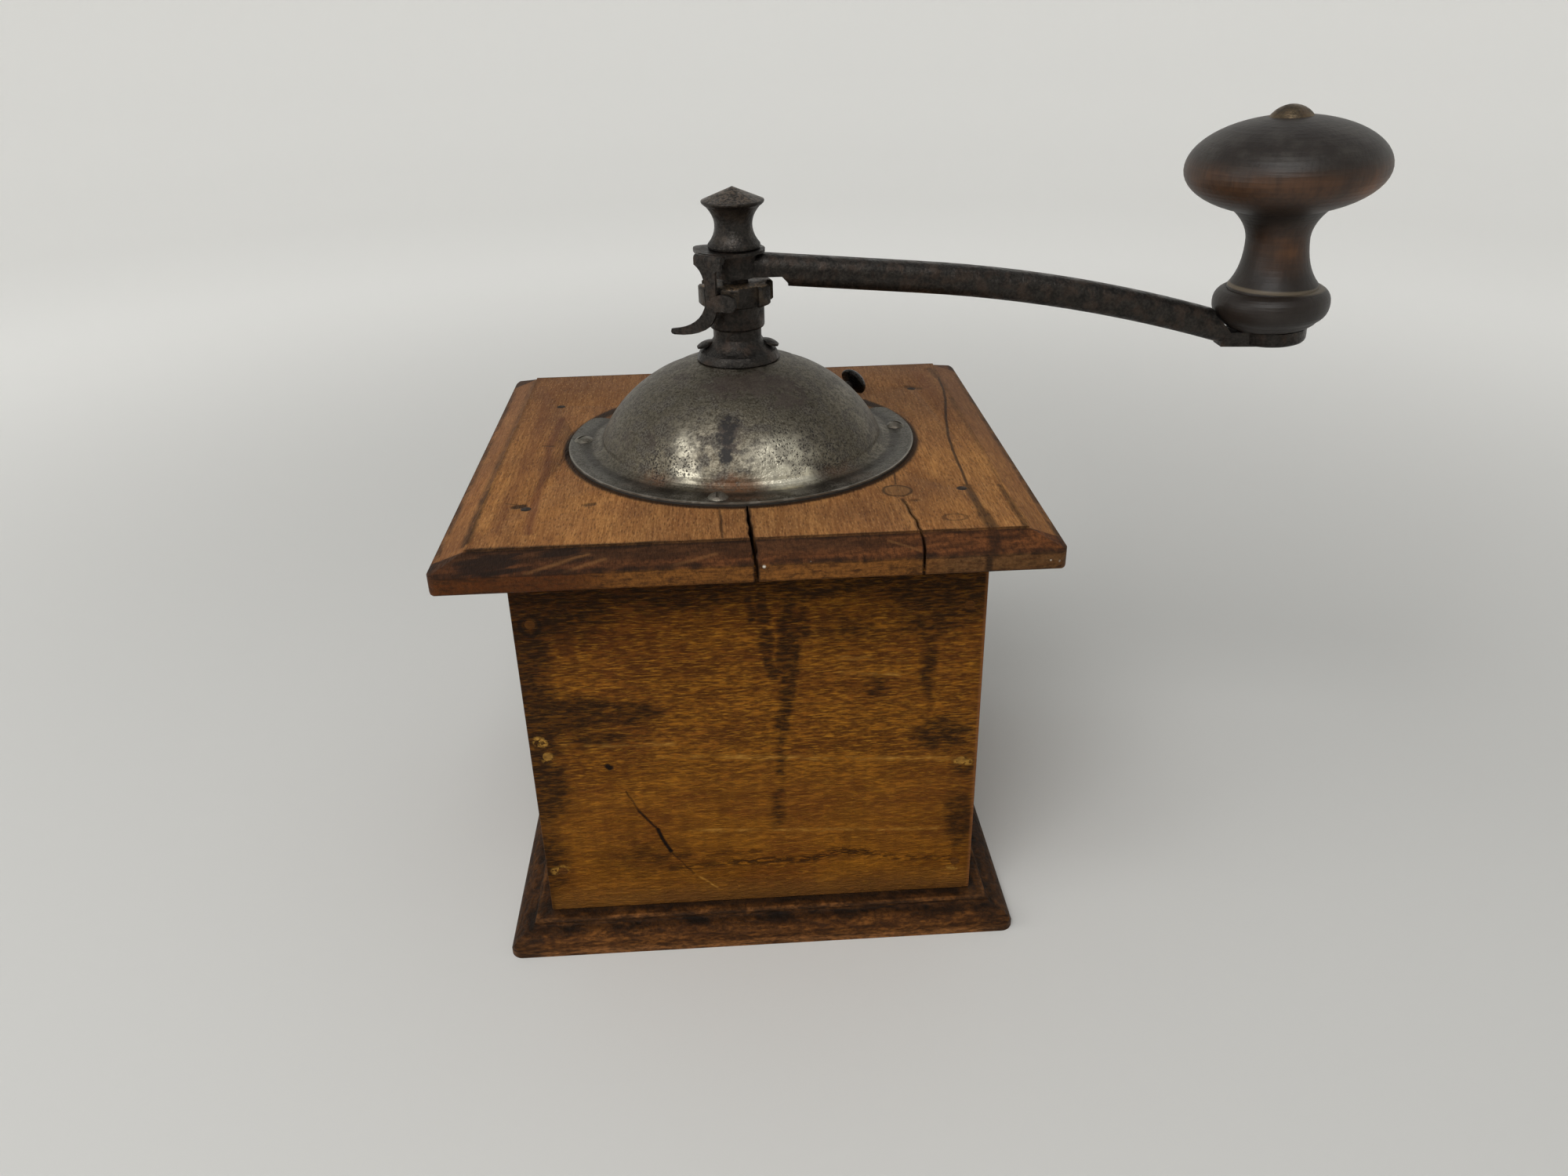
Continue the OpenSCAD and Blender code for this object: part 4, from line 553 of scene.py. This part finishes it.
def near_ring(tree, height, levels, width):
    """Mask of thin level rings at the given heights."""
    masks = []
    for level in levels:
        off = add(tree, "Math", {0: height, 1: level}, operation="SUBTRACT")
        away = add(tree, "Math", {0: off}, operation="ABSOLUTE")
        masks.append(ramp(tree, away, width, width / 3))
    return most(tree, *masks)


def dome_steel(iron):
    """Pressed sheet steel: mottled brown-grey patina, black pits, rubbed steel and painted reflections low down in
    front, a painted highlight on the front rim, painted shade at the flange's foot.
    """
    material, tree, shader, place = begin("pitted_sheet_steel")
    apart = add(tree, "SeparateXYZ", {0: place})
    height = apart.outputs[2]
    still = add(tree, "VectorMath", {0: place, 1: (1, 1, 0)}, operation="MULTIPLY")
    radius = add(tree, "VectorMath", {0: still}, operation="LENGTH")
    foot = DOME_LOW.z
    bent = wavy(tree, place, (5, 5, 5), 2.0)

    def patch(x, y, z, *reach):
        return blob(tree, bent, (x, y, foot + z), reach)

    cloud = mottle(tree, place, (10, 10, 8), 0.36, 0.62, detail=6.0)
    stain = mottle(tree, bent, (4.5, 4.5, 3.0), 0.47, 0.6, detail=8.0, shift=(2, 8, 5))
    speckle = mottle(tree, place, (1.3, 1.3, 1.1), 0.36, 0.64, detail=5.0, shift=(3, 3, 3))
    grit = mottle(tree, place, (0.5, 0.5, 0.5), 0.36, 0.66, detail=3.0, shift=(5, 1, 3))
    # pits 0.3 mm wide, thickest on the lower right of the front
    pitted = most(tree, patch(18, -32, 9, 22, 18, 13), product(tree, patch(-20, -33, 6, 16, 14, 9), 0.7), 0.1)
    pits = product(tree, most(tree, flecks(tree, place, (0.9, 0.9, 0.9), 0.12, 0.4), flecks(tree, place, (0.6, 0.6, 0.6), 0.1, 0.4, shift=(8, 8, 8))),
                   ramp(tree, product(tree, pitted, mottle(tree, place, (4, 4, 3), 0.3, 0.6, detail=4.0, shift=(6, 1, 1))), 0.04, 0.4))
    # grey zones left and right of a brown patch, and the two bright places at the foot: rubbed steel and painted
    # reflection
    grey = most(tree, patch(-14, -29, 12, 13, 16, 14), patch(12, -32, 8, 20, 20, 12), product(tree, patch(-4, -38, 5, 12, 12, 5), 0.4), product(tree, patch(26, -31, 7, 11, 10, 7), 0.8),
                product(tree, patch(34, -14, 16, 22, 24, 20), 0.5), product(tree, patch(-36, -10, 12, 14, 22, 20), 0.4))
    bright = most(tree, product(tree, patch(-15.5, -35.6, 4.3, 7, 8, 5), 0.8), product(tree, patch(11.5, -38.0, 3.0, 13, 9, 5.0), 1.5),
                  product(tree, patch(-15.5, -31.5, 9, 6, 9, 8), 0.55), product(tree, patch(10, -35, 8, 15, 11, 8), 0.75))
    bright = product(tree, ramp(tree, bright, 0, 1), add(tree, "Math", {0: speckle, 1: -0.35, 2: 1.0}, operation="MULTIPLY_ADD"),
                     add(tree, "Math", {0: stain, 1: -0.55, 2: 1.0}, operation="MULTIPLY_ADD"))
    notch = torn(tree, most(tree, patch(-4.6, -34.5, 8.8, 3.8, 8, 5), patch(-4.2, -32, 11.8, 4.4, 7, 4.4), patch(-3.4, -29.5, 14.5, 5.4, 7, 4.4), product(tree, patch(-12, -25, 18, 2.2, 4, 2), 0.9)),
                 mottle(tree, place, (1.6, 1.6, 1.6), 0.3, 0.7, detail=5.0, shift=(4, 9, 2)), 0.3)
    brown = most(tree, patch(-3.2, -31, 12, 5.2, 9, 9), product(tree, patch(4, -17, 21, 26, 12, 6), 1.2), product(tree, patch(13, -21, 18, 12, 10, 6), 0.9),
                 product(tree, patch(-16, -10, 21.5, 8, 7, 3), 0.7), product(tree, patch(-32, -19, 8, 6, 8, 7), 0.6),
                 product(tree, patch(-23, -24, 9, 6, 7, 6), 0.6), product(tree, patch(36, -8, 6, 10, 12, 7), 0.4))
    brown = torn(tree, brown, mottle(tree, place, (2.5, 2.5, 2.0), 0.3, 0.7, detail=6.0), 0.4)
    rust = product(tree, most(tree, patch(-3, -41, 2, 13, 6, 5), product(tree, patch(0, -45.5, 0.5, 11, 6, 4), 0.6),
                              product(tree, patch(-24, -33, 2, 10, 8, 3), 0.6), product(tree, patch(27, -33, 2, 12, 9, 3), 0.4)),
                   mottle(tree, place, (2.2, 2.2, 2.0), 0.25, 0.55, detail=5.0))
    flange = ramp(tree, radius, 42.8, 44.2)
    sooty = product(tree, flange, ramp(tree, apart.outputs[1], -28, -44))
    # painted highlight along the flange's rim, on the front half
    rim_highlight = product(tree, ramp(tree, radius, FLANGE - 0.7, FLANGE - 0.1), ramp(tree, apart.outputs[1], 10, -20))
    groove = product(tree, ramp(tree, radius, 42.0, 43.0), ramp(tree, radius, 46.5, 43.8))
    # painted shade on the lower part of the flange's edge, where it stands on the board
    edge = product(tree, ramp(tree, radius, FLANGE - 0.2, FLANGE - 0.05), ramp(tree, height, foot + 0.75, foot + 0.45))
    base = layered(tree, iron.patina, (product(tree, grey, 0.8), iron.steel), (product(tree, cloud, 0.3), linear("#3f3a33")),
                   (product(tree, stain, 0.9), linear("#2b2119")),
                   (product(tree, flange, 0.85), linear("#4c4a45")), (product(tree, sooty, 0.95), linear("#2b231b")), (product(tree, speckle, 0.72), linear("#352f28")),
                   (product(tree, grit, 0.42), linear("#8d8778")))
    colours = layered(tree, base, (bright, iron.bright), (product(tree, brown, 0.75), linear("#362a24")),
                      (product(tree, rust, 0.85), linear("#6b4322")), (product(tree, notch, 0.97), linear("#1d1815")),
                      (product(tree, pits, 0.9), linear("#16120f")),
                      (product(tree, groove, 0.65), linear("#2a241c")), (product(tree, rim_highlight, 0.7), linear("#a5a095")),
                      (product(tree, edge, 0.9), linear("#1d1815")))
    dull = most(tree, brown, rust, notch, pits, edge, product(tree, stain, 0.8))
    metal = add(tree, "MapRange", {0: dull, 1: 0.0, 2: 1.0, 3: 1.0, 4: 0.35})
    coarse = most(tree, product(tree, cloud, 0.5), product(tree, speckle, 0.7), dull)
    rough = add(tree, "Math", {0: bright, 1: -0.12, 2: add(tree, "Math", {0: coarse, 1: 0.2, 2: 0.37}, operation="MULTIPLY_ADD")}, operation="MULTIPLY_ADD")
    paint(tree, shader, Base_Color=colours, Metallic=metal, Roughness=rough)
    relief(tree, shader, 0.1 * MM, (pits, -1.0), (speckle, -0.3), (grit, -0.15), (cloud, 0.4))
    return material


def dark_iron(name, tone, rust_colour, rustiness, roughness, dusty_from=None):
    """Forged or turned iron, blackened by use: soft sheen, thin brown rust, tan dust above a given height."""
    material, tree, shader, place = begin(name)
    skin = mottle(tree, place, (3.5, 3.5, 3.5), 0.35, 0.65, detail=5.0)
    fine = mottle(tree, place, (0.7, 0.7, 0.7), 0.4, 0.66, detail=4.0)
    rust = product(tree, mottle(tree, place, (4, 4, 4), 0.46, 0.64, detail=6.0, shift=(7, 7, 7)), rustiness)
    if dusty_from is not None:
        height = add(tree, "SeparateXYZ", {0: place}).outputs[2]
        rust = most(tree, rust, product(tree, ramp(tree, height, dusty_from - 0.3, dusty_from), fine, 1.2))
    colours = layered(tree, tone, (product(tree, skin, 0.65), linear("#1a1817")), (product(tree, fine, 0.35), linear("#4d4842")),
                      (rust, rust_colour))
    rough = add(tree, "MapRange", {0: skin, 1: 0.0, 2: 1.0, 3: roughness - 0.1, 4: roughness + 0.1})
    metal = add(tree, "MapRange", {0: rust, 1: 0.0, 2: 1.0, 3: 0.85, 4: 0.3})
    paint(tree, shader, Base_Color=colours, Metallic=metal, Roughness=rough)
    relief(tree, shader, 0.12 * MM, (skin, 0.8), (fine, 0.4))
    return material


def dress(material, *names):
    """Gives nodes of the frame their material."""
    for name in names:
        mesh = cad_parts[name].data
        mesh.materials.clear()
        mesh.materials.append(material)


def crack_cutter(path, gap, low, high):
    """A jagged upright slit along a path of x, y and half gap, as a shape to cut with."""
    shape = bmesh.new()
    left = [shape.verts.new(((x - share * gap / 2 / MM) * MM, y * MM, low)) for x, y, share in path]
    right = [shape.verts.new(((x + share * gap / 2 / MM) * MM, y * MM, low)) for x, y, share in path]
    shape.faces.new(left + right[::-1])
    grown = bmesh.ops.extrude_face_region(shape, geom=shape.faces[:])
    bmesh.ops.translate(shape, vec=(0, 0, high - low), verts=[v for v in grown["geom"] if isinstance(v, bmesh.types.BMVert)])
    bmesh.ops.recalc_face_normals(shape, faces=shape.faces[:])
    return new_object("crack_cutter", shape)


def new_object(name, shape):
    """A mesh object at the origin from a bmesh, which is freed."""
    mesh = bpy.data.meshes.new(name)
    shape.to_mesh(mesh)
    shape.free()
    made = bpy.data.objects.new(name, mesh)
    bpy.context.collection.objects.link(made)
    return made


def merged_copy(name):
    """The mesh of a node, its loose triangles joined and its flat faces made one."""
    shape = bmesh.new()
    shape.from_mesh(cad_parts[name].data)
    bmesh.ops.remove_doubles(shape, verts=shape.verts, dist=0.002 * MM)
    bmesh.ops.dissolve_limit(shape, angle_limit=math.radians(0.4), verts=shape.verts, edges=shape.edges)
    return shape


def cut(piece, cutter):
    """Cuts one object out of another for good."""
    tool = piece.modifiers.new("cut", "BOOLEAN")
    tool.object, tool.operation, tool.solver = cutter, "DIFFERENCE", "EXACT"
    view = bpy.context.evaluated_depsgraph_get()
    result = bpy.data.meshes.new_from_object(piece.evaluated_get(view))
    piece.modifiers.clear()
    piece.data = result
    bpy.data.objects.remove(cutter)


def worn_board(name, body, material, arris, cracks=(), spare=0.0):
    """A board with rounded arrises in place of its node. Edges within spare of the middle stay crisp."""
    piece = new_object("worn_" + name, merged_copy(name))
    for path, gap in cracks:
        cut(piece, crack_cutter(path, gap, BOARD_LOW.z * MM - MM, BOARD_HIGH.z * MM + MM))
    shape = bmesh.new()
    shape.from_mesh(piece.data)
    bmesh.ops.remove_doubles(shape, verts=shape.verts, dist=0.002 * MM)
    edges = []
    for edge in shape.edges:
        middle = (edge.verts[0].co + edge.verts[1].co) / 2
        if len(edge.link_faces) == 2 and edge.calc_face_angle() > math.radians(24) and (
                Vector((middle.x, middle.y)).length > spare and edge.calc_length() > 0.8 * MM or
                spare and Vector((middle.x, middle.y)).length > 60 * MM):
            edges.append(edge)
    bmesh.ops.bevel(shape, geom=edges, offset=arris, offset_type="OFFSET", segments=3, profile=0.5,
                    affect="EDGES", material=-1, clamp_overlap=True)
    shape.to_mesh(piece.data)
    shape.free()
    piece.data.shade_smooth()
    piece.data.set_sharp_from_angle(angle=math.radians(28))
    piece.data.materials.clear()
    piece.data.materials.append(material)
    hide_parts(name)
    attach(piece, body)
    return piece


class GRINDER_OT_boards(bpy.types.Operator):
    """Replace the boards by copies with worn edges, and crack the top board"""

    bl_idname = "grinder.boards"
    bl_label = "Worn boards"

    def execute(self, context):
        scene = context.scene
        wood, wear = scene.grinder_wood, scene.grinder_wear
        beech = wall_beech(wood)
        worn_board("top_board", "case", board_beech(wood), wear.arris,
                   ((MAIN_CRACK, wear.crack), (RIGHT_CRACK, wear.crack * 0.6)), spare=30 * MM)
        worn_board("base_board", "case", plinth_beech(wood), wear.arris * 0.8)
        for name in ("front_wall", "back_wall", "left_wall", "right_wall"):
            worn_board(name, "case", beech, wear.arris * 0.8)
        worn_board("drawer_front", "drawer", beech, wear.arris)
        dress(raw_beech(wood), "left_runner", "right_runner", "chute_board", "drawer_left_side", "drawer_right_side",
              "drawer_back", "drawer_floor")
        return {"FINISHED"}


class GRINDER_OT_knob(bpy.types.Operator):
    """Varnish the turned knobs"""

    bl_idname = "grinder.knob"
    bl_label = "Turned knobs"

    def execute(self, context):
        dress(knob_beech(context.scene.grinder_wood), "handle_knob", "drawer_pull")
        return {"FINISHED"}


class GRINDER_OT_iron(bpy.types.Operator):
    """Finish the dome, the crank, the burrs and the fixings"""

    bl_idname = "grinder.iron"
    bl_label = "Iron and steel"

    def execute(self, context):
        iron, wood = context.scene.grinder_iron, context.scene.grinder_wood
        tan = linear("#7a644a")
        dress(dome_steel(iron), "hopper_dome")
        dress(dark_iron("sooty_sheet_steel", iron.patina, iron.rust, 0.6, 0.5), "shutter_leaf")
        dress(dark_iron("forged_black_iron", iron.dark, iron.rust, 0.35, 0.44), "crank_arm", "pawl_washer", "pawl_spring",
              "bearing_collar", "collar_rivets", "inner_arch", "arch_screws", "lower_bridge", "ring_screws",
              "spindle_shaft", "cone_nut", "pull_screw")
        dress(dark_iron("dusty_nut_iron", iron.dark, tan, 0.2, 0.5, NUT_HIGH.z), "adjuster_nut")
        dress(dark_iron("dusty_cap_iron", iron.dark, linear("#5a4c3e"), 0.25, 0.42, FINIAL_HIGH.z - 3.2), "finial_nut")
        dress(dark_iron("black_lacquered_iron", linear("#171514"), iron.rust, 0.1, 0.35), "shutter_knob")
        dress(dark_iron("worn_screw_steel", linear("#858073"), iron.rust, 0.4, 0.4), "flange_screws")
        dress(dark_iron("browned_rivet", linear("#6f5f48"), iron.rust, 0.5, 0.5), "handle_pin")
        dress(dark_iron("rusted_nail_iron", linear("#33261c"), iron.rust, 0.8, 0.65), "top_nails", "base_screws")
        dress(nail_filler(wood), "wall_nails")
        dress(dark_iron("cut_burr_iron", iron.burr, iron.rust, 0.3, 0.4), "grinding_ring", "burr_cone")
        return {"FINISHED"}


class GRINDER_OT_stage(bpy.types.Operator):
    """Set up the pale floor, the soft lamps and the camera"""

    bl_idname = "grinder.stage"
    bl_label = "Stage"

    def execute(self, context):
        scene, studio = context.scene, context.scene.grinder_studio
        scene.view_settings.view_transform = "Standard"
        self.floor()
        self.lamp("key_lamp", (-0.3, -0.75, 1.05), 0.9, studio.key)
        self.lamp("fill_lamp", (-1.15, -0.35, 0.55), 0.7, studio.fill)
        world = bpy.data.worlds.new("even_room_light")
        world.use_nodes = True
        background = world.node_tree.nodes["Background"]
        background.inputs["Color"].default_value = linear("#e6e8ea")
        background.inputs["Strength"].default_value = studio.sky
        scene.world = world
        self.camera(scene, studio)
        return {"FINISHED"}

    def floor(self):
        """A round floor that turns up into a wall far out."""
        shape = bmesh.new()
        profile = ((0.0, 0.0), (1.2, 0.0), (1.4, 0.03), (1.55, 0.12), (1.64, 0.27), (1.67, 0.5), (1.67, 1.6))
        points = [shape.verts.new((r, 0, z)) for r, z in profile]
        edges = [shape.edges.new(pair) for pair in zip(points, points[1:])]
        bmesh.ops.spin(shape, geom=points + edges, cent=(0, 0, 0), axis=(0, 0, 1), angle=math.tau, steps=96,
                       use_merge=True, use_duplicate=False)
        bmesh.ops.remove_doubles(shape, verts=shape.verts, dist=0.01 * MM)
        bmesh.ops.recalc_face_normals(shape, faces=shape.faces[:])
        floor = new_object("floor", shape)
        floor.data.shade_smooth()
        material, tree, shader, place = begin("pale_cloth")
        # far from the mill the camera sees the cloth lit up, so that the background stays pale all round
        away = add(tree, "VectorMath", {0: place}, operation="LENGTH")
        path = add(tree, "LightPath").outputs
        seen = most(tree, path["Is Camera Ray"], path["Is Glossy Ray"], path["Is Transmission Ray"])
        from_lamps = add(tree, "VectorMath", {0: place, 1: (0.45, 0.9, 0)}, operation="DOT_PRODUCT")
        glow = product(tree, ramp(tree, away, 200, 900), ramp(tree, from_lamps, -1000, 300), seen, 0.34)
        paint(tree, shader, Base_Color=linear("#dddcd8"), Roughness=0.9, Emission_Color=linear("#f3f2ee"),
              Emission_Strength=glow, Specular_IOR_Level=0.1)
        floor.data.materials.append(material)

    def lamp(self, name, place, size, power):
        """A square area lamp aimed at the mill."""
        light = bpy.data.lights.new(name, "AREA")
        light.shape, light.size, light.energy = "SQUARE", size, power
        made = bpy.data.objects.new(name, light)
        aim = Vector(place) - Vector((0, 0, 0.1))
        made.matrix_world = Matrix.Translation(place) @ aim.to_track_quat("Z", "Y").to_matrix().to_4x4()
        bpy.context.collection.objects.link(made)

    def camera(self, scene, studio):
        """The camera that took the photograph, as measured from the board's edges."""
        right = Vector((0.99809, -0.05835, -0.02034))
        up = Vector((0.04472, 0.45498, 0.88938))
        back = -Vector((0.04264, 0.88859, -0.45672))
        data = bpy.data.cameras.new("camera")
        data.sensor_width, data.lens = 36.0, studio.lens
        data.clip_start = 0.01
        made = bpy.data.objects.new("camera", data)
        turned = Matrix((right, up, back)).transposed().to_4x4()
        made.matrix_world = Matrix.Translation((-0.00417, -0.32094, 0.24129)) @ turned
        bpy.context.collection.objects.link(made)
        scene.camera = made


class GRINDER_PT_panel(bpy.types.Panel):
    """Sizes, colours and steps of the grinder"""

    bl_idname = "GRINDER_PT_panel"
    bl_label = "Coffee grinder"
    bl_space_type = "VIEW_3D"
    bl_region_type = "UI"
    bl_category = "Grinder"

    def draw(self, context):
        for group in (context.scene.grinder_wood, context.scene.grinder_iron, context.scene.grinder_wear,
                      context.scene.grinder_studio):
            box = self.layout.box()
            for name in group.__annotations__:
                box.prop(group, name)
        for step in OPERATORS:
            self.layout.operator(step.bl_idname)


OPERATORS = (GRINDER_OT_boards, GRINDER_OT_knob, GRINDER_OT_iron, GRINDER_OT_stage)
GROUPS = {"grinder_wood": WoodColours, "grinder_iron": IronColours, "grinder_wear": Wear, "grinder_studio": Studio}
CLASSES = (*GROUPS.values(), *OPERATORS, GRINDER_PT_panel)


def register():
    for each in CLASSES:
        bpy.utils.register_class(each)
    for name, group in GROUPS.items():
        setattr(bpy.types.Scene, name, PointerProperty(type=group))


def unregister():
    for name in GROUPS:
        delattr(bpy.types.Scene, name)
    for each in reversed(CLASSES):
        bpy.utils.unregister_class(each)


def main():
    register()
    for step in OPERATORS:
        group, name = step.bl_idname.split(".")
        getattr(getattr(bpy.ops, group), name)()


if __name__ == "__main__":
    main()
